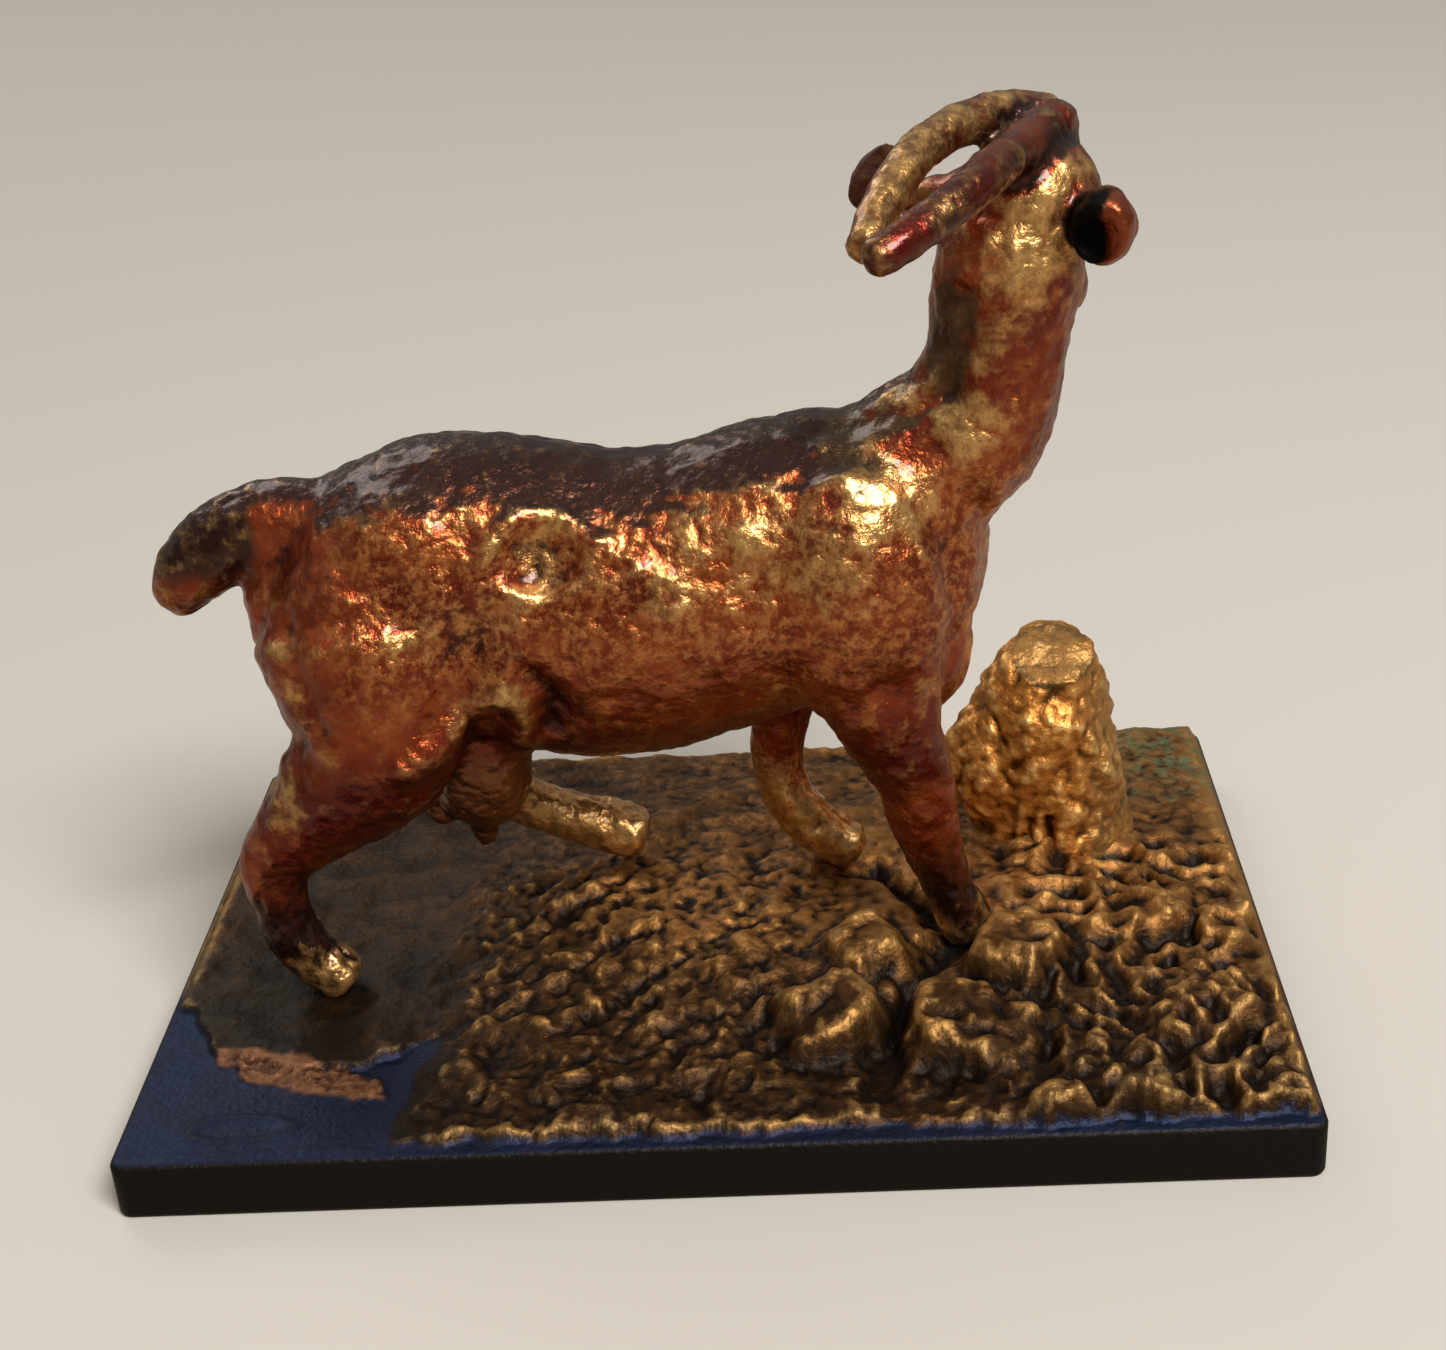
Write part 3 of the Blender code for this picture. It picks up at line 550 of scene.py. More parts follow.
clay = bmesh.new()
rise = STUMP_TOP - SLAB_THICKNESS
half = STUMP_WIDTH / 2
stations = [
    (x, y, SLAB_THICKNESS + share * rise, half * width, half * width)
    for share, x, y, width in STUMP_STATIONS
]
add_loft(clay, stations, (0, 1, 0), roundness=0.3)
add_lump(clay, (31.5, 13.0, SLAB_THICKNESS + 0.42 * rise), (half * 0.62, half * 0.7, rise * 0.28))
stump = skin(clay, "stump_bronze", voxel=0.33, softness=0.45)
points, normals = mesh_points(stump.data), vertex_normals(stump.data)
over = points[:, 2] - STUMP_TOP + STUMP_CUT_SLOPE * (17.5 - points[:, 1])
points[:, 2] -= 0.85 * np.maximum(over, 0.0)
on_cut = eased((over + 0.9) / 1.8)
crags = 2.2 * np.abs(grain(points, (2.6, 2.6, 3.0), 8.0)) - 0.5
tooling = 0.5 * grain(points, (3.4, 3.4, 4.4), 3.0) + 0.40 * crags + 0.20 * grain(points, 1.0, 5.0)
tooling += 0.9 * grain(points, (5.0, 5.0, 8.0), 1.0) - 0.30 * np.abs(grain(points, 1.5, 18.0))
cut_face = 0.6 * grain(points, 3.4, 14.0) + 0.16 * grain(points, 1.2, 5.0)
tooling = (1 - on_cut) * tooling + on_cut * cut_face
under_lip = np.hypot(points[:, 0] - 38.9, points[:, 1] - 13.4) < 9
tooling -= 0.3 * under_lip * np.exp(-(((over + 1.7) / 0.9) ** 2))
points += (tooling * eased((points[:, 2] - 7.5) / 4))[:, None] * normals
for x, y, foot, head, half_width in STUMP_SLOTS:
    apart = distance_to_run(points, np.array([(x, y, foot), (x, y, head)])) / half_width
    points -= (STUMP_SLOT_DEPTH * np.exp(-(apart**2)))[:, None] * normals
set_points(stump.data, points)
stump.data.shade_smooth()
stands_out = relief(stump.data, points, vertex_normals(stump.data), steps=30)
rim_shade = 0.45 * np.exp(-(((over - 0.1) / 0.5) ** 2)) * under_lip
set_shares(
    stump.data,
    high=0.47 + stands_out / 0.7 - rim_shade,
    dull=eased((points[:, 0] - 40.5) / 4) + 0.9 * on_cut,
)

# Bronze with a thin brown patina, rubbed back by hand: gold on every small ridge, brown in the
# pits, and a duller olive on the cut face and the side away from the goat.

material, tree, shader = new_material("stump_worn_gold_bronze")
place = add_node(tree, "TexCoord").outputs["Object"]
high, dull = (
    add_node(tree, "Attribute", attribute_name=name).outputs["Fac"] for name in ("high", "dull"))
cloud, speck = (
    add_node(tree, "TexNoise", {
        "Vector": place, "Scale": 1 / (size * MM), "Detail": detail, "Roughness": roughness,
    }).outputs["Fac"]
    for size, detail, roughness in ((6, 3.0, 0.5), (1.5, 5.0, 0.68)))
mottled = add_node(tree, "Math", {0: speck, 1: 0.9, 2: high}, operation="MULTIPLY_ADD").outputs[0]
dull_part = add_node(tree, "Math", {0: dull, 1: cloud}, operation="MULTIPLY").outputs[0]
colour = lay_coats(tree, [
    ("worn", (mottled, 0.5, 1.0, 0.0, 1.0), "#54300f", "#c07c34"),
    ("bright", (mottled, 0.98, 1.4, 0.0, 1.0), "worn", "#eab56a"),
    ("dull", dull_part, "bright", "#86744a"),
])
gloss = add_node(tree, "MapRange", {"Value": speck, "To Min": 0.32, "To Max": 0.56}).outputs[0]
finish_metal(tree, shader, colour, gloss, grit_size=0.8, grit_depth=0.3, strength=0.9)
shader.inputs["Metallic"].default_value = 0.75
stump.data.materials.append(material)
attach(stump, "root")
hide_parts("goat_figurine")


# Goat: trunk and neck
#
# The goat was modelled in wax over the ground and cast solid with it. The trunk is a barrel
# slung a little low behind the ribs, with thighs, hips and shoulders laid on as flat lumps.

AXIS_HEIGHT = 49.0
MIDLINE = -2.0
TORSO_WIDTH, TORSO_DEPTH = 26.5, 33.0
NECK_WIDTH = 14.4
HEAD_HEIGHT = 88.5
TORSO_STATIONS = [
    # x, height over the axis, share of width, share of depth
    (-43.0, 1.8, 0.46, 0.46),
    (-38.5, 1.2, 0.80, 0.78),
    (-31.0, 0.8, 0.96, 0.97),
    (-23.0, 1.2, 0.96, 1.03),
    (-15.5, -0.1, 0.98, 1.02),
    (-8.0, -1.2, 1.02, 1.01),
    (1.0, 0.0, 1.00, 0.95),
    (10.0, 2.4, 0.96, 0.94),
    (18.5, 2.8, 0.86, 0.93),
    (25.0, 1.6, 0.62, 0.70),
]
NECK_STATIONS = [
    # x, y, share of the way from the axis to the head, shares of width and of depth
    (16.0, -2.0, 0.15, 1.32, 1.50),
    (23.4, -2.0, 0.30, 1.22, 1.28),
    (29.0, -2.2, 0.43, 1.08, 1.12),
    (31.3, -2.3, 0.57, 0.97, 1.00),
    (32.2, -2.2, 0.70, 0.96, 0.98),
    (33.0, -1.9, 0.82, 1.00, 1.01),
    (33.4, -1.4, 0.895, 0.99, 0.96),
]
MUSCLES = [
    # x, depth under the torso's side, height over the axis, radii along x, y and z
    (-33.0, 6.4, -3.0, 11.2, 7.4, 13.4),
    (16.5, 5.6, 1.5, 9.6, 6.4, 14.0),
    (-27.5, 7.8, 7.5, 9.5, 6.4, 8.4),
]
clay = bmesh.new()
half_width, half_depth = TORSO_WIDTH / 2, TORSO_DEPTH / 2
stations = [
    (x, MIDLINE, AXIS_HEIGHT + z, width * half_width, depth * half_depth)
    for x, z, width, depth in TORSO_STATIONS
]
add_loft(clay, stations, (0, 0, 1), roundness=0.55, sides=56)
for side in (-1, 1):
    for x, inset, z, *radii in MUSCLES:
        add_lump(clay, (x, MIDLINE + side * (half_width - inset), AXIS_HEIGHT + z), radii)
add_lump(clay, (22.0, MIDLINE, AXIS_HEIGHT - 6.0), (7.0, 8.4, 9.5))
rise = HEAD_HEIGHT - AXIS_HEIGHT
half = NECK_WIDTH / 2
stations = [
    (x, y, AXIS_HEIGHT + share * rise, width * half, depth * half)
    for x, y, share, width, depth in NECK_STATIONS
]
add_loft(clay, stations, (1, 0, 0))


# Goat: head, ears and horns
#
# The head looks back over the left shoulder, so its own directions are turned and tipped.
# The ears are short cups, and the horns sweep back over the neck and meet at blunt tips.

HEAD_CENTRE = Vector((33.2, -1.1, HEAD_HEIGHT))
HEAD_TURN, HEAD_DIP = math.radians(54), math.radians(38)
SKULL_WIDTH = 15.6
MUZZLE_LENGTH = 14.5
HORN_ROOT_DIAMETER, HORN_TIP_DIAMETER, HORN_SPREAD = 4.9, 4.2, 8.2
EAR_LENGTH, EAR_WIDTH, EAR_DEPTH, EAR_STALK = 6.0, 7.6, 3.3, 4.4
EYE_DIAMETER = 3.0
nose_level = Vector((math.cos(HEAD_TURN), math.sin(HEAD_TURN), 0))
forward = nose_level * math.cos(HEAD_DIP) - Vector((0, 0, math.sin(HEAD_DIP)))
crown = nose_level * math.sin(HEAD_DIP) + Vector((0, 0, math.cos(HEAD_DIP)))
left = crown.cross(forward)


def on_head(ahead, sideways, up):
    """A point given along the nose, to the goat's left and up through its crown."""
    return HEAD_CENTRE + ahead * forward + sideways * left + up * crown


half = SKULL_WIDTH / 2
head_axes = Matrix((forward, left, crown)).transposed()
add_lump(clay, on_head(1.6, -1.7, 0.4), (half * 0.92, half * 0.84, half * 0.86), head_axes)
muzzle = [
    # share of the muzzle, drop towards the nose, half width and half depth as shares of the skull
    (0.10, 0.3, 0.86, 0.96),
    (0.45, 1.9, 0.66, 0.76),
    (0.78, 3.3, 0.47, 0.56),
    (1.00, 3.9, 0.42, 0.48),
]
stations = [
    (*on_head(share * MUZZLE_LENGTH, 0, -drop), half * width, half * depth)
    for share, drop, width, depth in muzzle
]
add_loft(clay, stations, tuple(crown), roundness=0.7)
for side in (-1, 1):
    eye = on_head(0.42 * MUZZLE_LENGTH, side * half * 0.66, 1.6)
    add_lump(clay, eye, (EYE_DIAMETER / 2,) * 3, head_axes)
    brow = on_head(0.30 * MUZZLE_LENGTH, side * half * 0.58, 3.6)
    add_lump(clay, brow, (2.8, 1.8, 1.3), head_axes)

half_ear = EAR_LENGTH / 2
EARS = [
    # side, reach beyond the skull, forward, crown, hollow as a share of the ear's depth, sag
    (-1, 3.0, 0.2, -2.0, 0.0, 0.0),
    (1, 7.0, -1.0, -0.3, 0.9, 0.9),
]
ear_centres = []
for side, reach, ahead, up, hollow, sag in EARS:
    middle = half + reach
    outward = (side * left + 0.12 * crown).normalized()
    back = (-forward + outward * forward.dot(outward)).normalized()
    axes = Matrix((outward, back.cross(outward), back)).transposed()
    centre = on_head(ahead, side * middle, up)
    ear_centres.append(np.array(centre))
    add_lump(clay, centre, (half_ear, EAR_WIDTH / 2, EAR_DEPTH), axes, hollow=hollow)
    points = [
        # the stalk's middle line from inside the skull to the cup, and its share of the radius
        (on_head(0.5, side * 0.7 * half, 0.6 - sag), 1.27 - 0.35 * sag),
        (on_head(1.2, side * (middle - 0.9 * half_ear), 0.8 * up - sag), 1.0 - 0.2 * sag),
        (on_head(ahead + 1.6, side * (middle + 0.2 * half_ear), up), 0.77),
    ]
    stalk = [(*point, share * EAR_STALK / 2, share * EAR_STALK / 2) for point, share in points]
    add_loft(clay, stalk, tuple(crown))

# Forward, left as a share of half the spread, crown, and the share of the way from root to tip.
HORN_ROUTES = [
    [
        (3.0, -0.40, 3.5, 0.0),
        (1.1, -0.44, 7.8, 0.0),
        (-4.8, -0.68, 3.0, 0.17),
        (-9.6, -0.88, -1.5, 0.33),
        (-13.2, -1.00, -5.4, 0.5),
        (-16.0, -0.88, -9.0, 0.67),
        (-18.3, -0.68, -12.3, 0.83),
        (-20.2, -0.42, -15.1, 1.0),
    ],
    [
        (4.0, 0.40, 5.0, 0.0),
        (4.8, 0.44, 9.6, 0.0),
        (0.3, 0.68, 8.3, 0.17),
        (-5.0, 0.88, 4.8, 0.33),
        (-9.2, 1.00, 0.8, 0.5),
        (-12.8, 0.88, -3.8, 0.67),
        (-15.6, 0.68, -8.7, 0.83),
        (-17.4, 0.42, -13.4, 1.0),
    ],
]
horn_runs = []
root_radius, tip_radius = HORN_ROOT_DIAMETER / 2, HORN_TIP_DIAMETER / 2
for route in HORN_ROUTES:
    stations = []
    for ahead, aside, up, way in route:
        radius = root_radius + way * (tip_radius - root_radius)
        stations.append((*on_head(ahead, aside * HORN_SPREAD / 2, up), radius, radius))
    add_loft(clay, stations, tuple(left), sides=32)
    horn_runs.append(smooth_run(stations)[:, :3])


# Goat: tail and udder
#
# A short thick tail curls over the rump and drops, and the full udder hangs between the hind
# legs with its teat pointing down; both are plain lumps with a few strokes of the tool.

TAIL_THICKNESS = 8.6
UDDER_WIDTH = 10.4
TEAT_DIAMETER = 2.8
half = TAIL_THICKNESS / 2
tail = [
    # x, height over the axis, half width and half depth as shares of half the thickness
    (-38.0, 9.0, 1.10, 1.25),
    (-44.5, 9.2, 1.00, 1.15),
    (-49.6, 7.2, 0.92, 1.02),
    (-53.0, 4.0, 0.76, 0.86),
    (-54.6, 1.8, 0.56, 0.62),
]
stations = [(x, MIDLINE, AXIS_HEIGHT + z, width * half, depth * half) for x, z, width, depth in tail]
add_loft(clay, stations, (0, 0, 1), roundness=0.5)
half, teat = UDDER_WIDTH / 2, TEAT_DIAMETER / 2
udder_y = MIDLINE - 3.0
stations = [
    (-23.6, udder_y, AXIS_HEIGHT - 13.0, half, half),
    (-23.8, udder_y, AXIS_HEIGHT - 18.5, half, half * 1.02),
    (-24.2, udder_y, AXIS_HEIGHT - 22.8, 0.78 * half, 0.84 * half),
    (-24.5, udder_y, AXIS_HEIGHT - 25.4, 1.25 * teat, 1.3 * teat),
    (-24.6, udder_y, AXIS_HEIGHT - 27.4, teat, teat),
]
add_loft(clay, stations, (1, 0, 0))
add_lump(clay, (-28.6, udder_y - 0.5, AXIS_HEIGHT - 22.6), (1.5 * teat, 1.4 * teat, 1.7 * teat))
add_lump(clay, (-25.0, udder_y + 1.5 * half, AXIS_HEIGHT - 23.6), (1.2 * teat, 1.2 * teat, 2.2 * teat))


def around_udder(points):
    """1 on the udder and its teat, fading to 0 a little way off them."""
    x, y, z = points.T
    return eased((36 - z) / 4) * eased((7 - np.hypot(x + 24.4, y - udder_y)) / 1.5)


# Goat: legs
#
# Stout legs with bent hocks and knees, drawn straight out of the trunk and run into the
# ground, with hooves that are hardly more than blunt wedges.

CANNON_THICKNESS = 5.8
HOOF_WIDTH = 6.0
# Each leg: x, y, height as a share of the way from the ground to the axis, then half width and
# half depth in the unit that the last entry names.
LEGS = {
    "near_hind": [
        (-33.5, -9.0, 1.00, 8.0, 11.5, "body"),
        (-32.9, -10.2, 0.84, 7.8, 10.0, "body"),
        (-34.2, -11.2, 0.69, 6.8, 8.4, "body"),
        (-38.8, -11.6, 0.58, 5.0, 6.6, "body"),
        (-43.4, -11.6, 0.475, 1.34, 1.60, "cannon"),
        (-46.2, -11.5, 0.385, 1.14, 1.34, "cannon"),
        (-46.3, -11.3, 0.26, 0.98, 1.06, "cannon"),
        (-45.2, -11.2, 0.155, 0.96, 1.08, "cannon"),
        (-43.4, -11.1, 0.085, 0.96, 1.00, "hoof"),
        (-41.0, -11.0, 0.030, 1.02, 0.96, "hoof"),
    ],
    "far_hind": [
        (-31.0, 5.5, 1.00, 8.0, 11.5, "body"),
        (-29.5, 6.6, 0.82, 7.4, 9.6, "body"),
        (-27.5, 7.2, 0.64, 6.0, 7.4, "body"),
        (-28.4, 7.4, 0.46, 4.6, 5.2, "body"),
        (-28.0, 7.4, 0.320, 1.20, 1.30, "cannon"),
        (-22.6, 7.3, 0.225, 0.92, 0.96, "cannon"),
        (-16.6, 7.2, 0.150, 0.98, 1.04, "cannon"),
        (-12.4, 7.2, 0.115, 1.06, 1.06, "hoof"),
        (-9.4, 7.2, 0.080, 1.06, 1.02, "hoof"),
    ],
    "near_fore": [
        (17.0, -8.5, 1.00, 5.6, 8.6, "body"),
        (18.6, -9.4, 0.80, 5.2, 7.0, "body"),
        (20.0, -9.6, 0.665, 4.5, 5.3, "body"),
        (21.9, -9.4, 0.535, 1.30, 1.46, "cannon"),
        (22.8, -9.2, 0.42, 1.18, 1.36, "cannon"),
        (24.0, -9.0, 0.30, 1.02, 1.12, "cannon"),
        (25.2, -8.7, 0.20, 0.90, 0.96, "cannon"),
        (26.4, -8.4, 0.115, 0.94, 0.94, "hoof"),
        (27.6, -8.2, 0.040, 1.04, 1.04, "hoof"),
    ],
    "far_fore": [
        (10.5, 5.0, 0.95, 4.8, 7.0, "body"),
        (9.2, 5.8, 0.72, 4.0, 4.8, "body"),
        (8.3, 5.9, 0.54, 1.14, 1.26, "cannon"),
        (7.4, 5.8, 0.385, 0.98, 1.06, "cannon"),
        (7.9, 5.6, 0.27, 0.96, 1.00, "cannon"),
        (9.8, 5.5, 0.170, 1.00, 1.04, "cannon"),
        (12.4, 5.3, 0.095, 1.00, 1.02, "hoof"),
        (15.0, 5.2, 0.050, 1.02, 1.00, "hoof"),
    ],
}
half_of = {"body": 1.0, "cannon": CANNON_THICKNESS / 2, "hoof": HOOF_WIDTH / 2}
for leg in LEGS.values():
    foot_x, foot_y = (np.array([value]) for value in leg[-1][:2])
    footing = ground_height(foot_x, foot_y, fine=False)[0]
    stations = [
        (x, y, footing + share * (AXIS_HEIGHT - footing), width * half_of[kind], depth * half_of[kind])
        for x, y, share, width, depth, kind in leg
    ]
    add_loft(clay, stations, (1, 0, 0), roundness=0.45)


# Goat: skin
#
# All the clay is closed into one skin. The modeller's hollows, folds and tool strokes are
# pressed into it, then the lumps and pits that a cast surface keeps.

MOST_TRIANGLES = 196000
goat = skin(clay, "goat_bronze", voxel=0.36, softness=0.5)
points = mesh_points(goat.data)

DENTS = [
    # x, y, height over the axis, radius, depth, and the way that it is pushed
    (-14.0, -13.6, 8.4, 6.0, 1.9, (0, 1, -0.3)),
    (-21.6, -15.2, 1.0, 5.2, 1.4, (0, 1, 0)),
    (-15.0, -14.4, -8.0, 5.6, 1.1, (0, 1, 0.3)),
    (-15.0, 10.4, 8.0, 6.0, 1.4, (0, -1, -0.3)),
    (-22.0, 11.6, 1.0, 5.2, 1.2, (0, -1, 0)),
    (23.5, -9.0, 17.5, 4.5, 0.9, (-0.4, 1, 0)),
    (-44.5, -5.5, -9.0, 4.0, 0.8, (1, 0.4, 0)),
    (7.0, -15.0, 6.0, 5.5, 0.8, (0, 1, 0)),
    (40.2, -11.0, 37.4, 3.2, 4.2, (0, 0.9, -0.45)),
]
for x, y, z, radius, depth, way in DENTS:
    apart = np.linalg.norm(points - (x, y, AXIS_HEIGHT + z), axis=1) / radius
    points += depth * (np.clip(1 - apart**2, 0, None) ** 2)[:, None] * unit(np.array(way, float))

STROKES = [
    # height over the skin, half width, points that the stroke passes
    (-0.9, 1.9, [(-15.8, -14.0, 46.0), (-14.4, -13.8, 42.5), (-15.0, -12.5, 38.5)]),
    (1.3, 1.8, [(-30, -17, 37.5), (-26.1, -15.4, 39.1), (-24.4, -13.3, 41.7), (-21.7, -12.6, 43.5),
                (-18.9, -13.9, 44.0), (-17.3, -13.5, 41.4), (-17.8, -11.5, 38.0)]),
    (-0.6, 1.4, [(-41.5, -11, 54.5), (-39.8, -14.2, 51.0), (-38.6, -16.2, 46.0), (-37.5, -16.6, 41.5)]),
    (-0.4, 2.2, [(-40.6, -14, 39.1), (-36.5, -17.4, 41.5), (-33.1, -18, 40.1), (-29.7, -17.4, 39.6)]),
    (-0.5, 1.6, [(19.0, -15.0, 43.0), (21.9, -13.8, 40.5), (23.8, -12.0, 40.5)]),
    (-0.8, 2.2, [(28.2, -7.4, 80.1), (28.1, -7.7, 77.3), (27.1, -7.3, 74.2), (26.3, -7.8, 70.9)]),
    (-0.5, 1.4, [(26.3, -7.8, 70.9), (22.4, -6.9, 68.7), (18, -5.5, 68.2), (13, -5.0, 67.0)]),
    (-0.5, 2.0, [(25.1, -9.3, 65.8), (27.4, -10.1, 61.8), (29.7, -6.8, 56.6), (30.2, -4.9, 51.9)]),
    (0.50, 1.1, [(-19.5, -13.0, 58.0), (-17.5, -11.6, 61.0), (-14.0, -10.6, 61.9), (-10.5, -11.6, 61.0),
                 (-8.6, -12.6, 58.0), (-11.0, -13.4, 54.4), (-14.5, -13.6, 53.6), (-18.0, -13.6, 54.8)]),
    (0.55, 0.8, [(-8.4, -12.0, 59.2), (-7.2, -12.0, 59.3), (-7.0, -12.4, 58.0)]),
    (0.55, 0.8, [(-5.6, -12.8, 57.6), (-4.4, -12.8, 57.0), (-5.0, -13.3, 55.9)]),
    (0.50, 1.8, [(-2.0, -14.4, 54.4), (-0.8, -14.4, 53.6)]),
    (-0.30, 0.7, [(-1.9, -14.4, 54.8), (-1.4, -14.4, 53.4)]),
    (0.35, 1.2, [(6.0, -12.8, 59.6), (6.6, -12.8, 58.0)]),
    (0.40, 1.3, [(13.6, -11.4, 63.8), (16.4, -11.4, 63.4)]),
    (0.40, 1.5, [(20.4, -11.2, 63.4), (21.4, -11.2, 61.8)]),
]
near = kdtree.KDTree(len(points))
for index, point in enumerate(points):
    near.insert(point, index)
near.balance()


def pressed(points, normals, height, half_width, run):
    """The points with one stroke of the tool laid along the skin, raised or sunk."""
    run = smooth_run(np.array([points[near.find(point)[1]] for point in run]), steps=4)
    apart = distance_to_run(points, run) / half_width
    return points + (height * np.exp(-(apart**2)))[:, None] * normals


set_points(goat.data, points)
normals = vertex_normals(goat.data)
for height, half_width, run in STROKES:
    points = pressed(points, normals, height, half_width, run)
face_strokes = [
    # height, half width, points as share of the muzzle forward, millimetres sideways and up
    (0.35, 0.55, [(0.27, 6.2, 1.2), (0.42, 6.2, 2.9), (0.57, 6.2, 1.4)]),
    (0.25, 0.5, [(0.28, 6.2, 0.8), (0.42, 6.2, 0.1), (0.56, 6.2, 1.1)]),
    (-0.5, 0.45, [(0.62, 4.6, -5.2), (0.85, 3.6, -5.6), (1.12, 2.0, -5.8), (1.22, 0.0, -5.8)]),
    (-0.6, 0.55, [(1.08, 2.4, -2.9), (1.18, 1.4, -3.6)]),
]
for side in (-1, 1):
    for height, half_width, places in face_strokes:
        run = [on_head(MUZZLE_LENGTH * share, side * aside, up) for share, aside, up in places]
        points = pressed(points, normals, height, half_width, run)
for leg in LEGS.values():
    (toe_x, toe_y), (heel_x, heel_y) = leg[-1][:2], leg[-3][:2]
    run = [(toe_x + 3.2, toe_y, 12.5), (toe_x + 2.6, toe_y, 15.0), (heel_x + 2.6, heel_y, 17.5)]
    points = pressed(points, normals, -0.55, 0.5, run)

x, y, z = points.T
low_leg = 1 - eased((z - 17) / 9)
hair = grain(points, (0.9, 0.9, 2.4), 4.0) - 0.6 * np.abs(grain(points, (1.8, 1.8, 3.0), 24.0))
lumps = 0.24 * grain(points, 5.0, 2.0) + 0.22 * grain(points, 2.2, 6.0) + 0.13 * grain(points, 1.1, 7.0)
lumps += 0.22 * low_leg * hair
lumps -= 0.40 * around_udder(points) * np.abs(grain(points, (2.4, 2.4, 0.8), 9.0))
on_neck = eased((z - 66) / 6) * (1 - eased((z - 88) / 6))
lumps += 0.16 * on_neck * grain(points, (1.3, 1.3, 3.4), 17.0)
for run in horn_runs:
    steps = np.linalg.norm(np.diff(run, axis=0), axis=1)
    along = np.concatenate([[0], np.cumsum(steps)])
    apart = np.linalg.norm(points[:, None, :] - run[None, ::3, :], axis=2)
    nearest = apart.argmin(axis=1)
    on_horn = eased((4.2 - apart.min(axis=1)) / 0.8) * eased((along[::3][nearest] - 5.0) / 2)
    dimples = 0.16 * grain(points, 2.4, 12.0) + 0.12 * grain(points, 1.1, 14.0) - 0.18
    lumps += on_horn * (dimples - 0.7 * lumps)
normals = vertex_normals(goat.data)
points += lumps[:, None] * normals
points[:, 2] = np.minimum(points[:, 2], SLAB_HIGH[2] - 0.05)
set_points(goat.data, points)
triangles = 2 * len(goat.data.polygons)
baked(goat, decimate={"ratio": min(1.0, MOST_TRIANGLES / triangles)})
goat.data.shade_smooth()
points = mesh_points(goat.data) / MM
normals = vertex_normals(goat.data)
stands_out = relief(goat.data, points, normals, steps=30)
wide_relief = relief(goat.data, points, normals, steps=160)
on_horns = []
for run in horn_runs:
    apart = np.linalg.norm(points[:, None, :] - run[None, ::3, :], axis=2).min(axis=1)
    on_horns.append(eased((4.4 - apart) / 0.8))
near_shins = (1 - eased((points[:, 2] - 22) / 12)) * eased((-3 - points[:, 1]) / 3)
thin = np.maximum(0.9 * np.maximum(*on_horns), near_shins)

GOLD = [
    # x, y, z, radius, strength: where handling wore the patina through
    (-14.0, -12.8, 57.8, 5.2, 1.2), (-21.6, -14.7, 50.6, 5.0, 0.8), (8.6, -13.4, 57.8, 8.0, 0.75),
    (13.4, -15.0, 56.2, 7.0, 0.6), (20.5, -12.0, 62.0, 7.0, 0.9), (27.6, -9.4, 67.8, 5.4, 0.9),
    (22.5, -5.0, 70.0, 4.0, 0.7), (36.0, -8.0, 87.0, 8.0, 1.1), (38.0, -6.0, 91.0, 5.5, 1.0),
    (31.5, -8.8, 87.0, 4.0, 0.6), (30.0, -9.5, 75.0, 4.0, 0.6), (33.6, -8.4, 78.0, 4.0, 0.5),
    (-43.0, -9.0, 54.0, 2.8, 0.5), (-40.6, -13.5, 50.0, 2.6, 0.5), (-39.6, -15.6, 46.0, 2.6, 0.5),
    (-39.4, -15.6, 41.5, 2.6, 0.5), (-43.0, -14.6, 32.5, 4.2, 0.6), (-1.4, -14.4, 54.1, 5.0, 0.7),
    (-21.7, -12.6, 43.5, 3.4, 0.8), (-24.4, -13.3, 41.7, 3.4, 0.8), (-18.0, -13.5, 43.0, 3.2, 0.8),
    (-22.1, -11.3, 61.6, 3.0, 0.5), (-26.5, -14.7, 51.7, 5.0, 0.6), (1.0, -13.5, 59.0, 6.0, 0.5),
    (9.0, -12.0, 41.0, 4.0, 0.7), (23.5, -13.0, 40.5, 2.6, 0.6), (-7.0, -13.5, 57.0, 4.0, 0.5),
]
blotch = grain(points, 4.0, 51.0) + 0.6 * grain(points, 1.8, 53.0)
gold = np.zeros(len(points))
for x, y, z, radius, strength in GOLD:
    apart = np.linalg.norm(points - (x, y, z), axis=1) / radius + 0.45 * blotch
    gold = np.maximum(gold, strength * (1 - eased((apart - 0.25) / 0.85)))
x, y, z = points.T
shin = 1 - eased((z - 11 - 3 * blotch) / 7)
gold = np.maximum(gold, 0.9 * shin)
far_legs = eased((y - 1) / 2) * (1 - eased((z - 20) / 8))
gold = np.maximum(gold, 0.85 * far_legs)
for on_horn, strength in zip(on_horns, (0.30, 0.85)):
    gold = gold * (1 - on_horn) + (strength + 0.35 * blotch) * on_horn
ear, far_ear = ear_centres
ears = np.zeros(len(points))
for middle, reach in ((ear, 4.0), (far_ear, 4.6)):
    ears = np.maximum(ears, eased((reach - np.linalg.norm(points - middle, axis=1)) / 0.6))
ears *= 1 - np.maximum(*on_horns)
back = eased((normals[:, 2] - 0.52) / 0.38) * eased((z - 56 + 2 * blotch) / 6)
back *= 1 - eased((x - 17) / 5)
tail_top = eased((-42 - x) / 4) * eased((z - 50) / 8)
nape = np.hypot(np.hypot(x - 27.0, (y + 6) / 1.5), (z - 76) / 3.2) + 1.2 * blotch
spine = eased((normals[:, 2] - 0.4) / 0.4) * eased((x - 12) / 5) * eased((z - 60) / 5)
nape = 1 - eased((nape - 0.6) / 3.2)
shins = 0.75 * eased((-3 - y) / 3) * (1 - eased((z - 15) / 13))
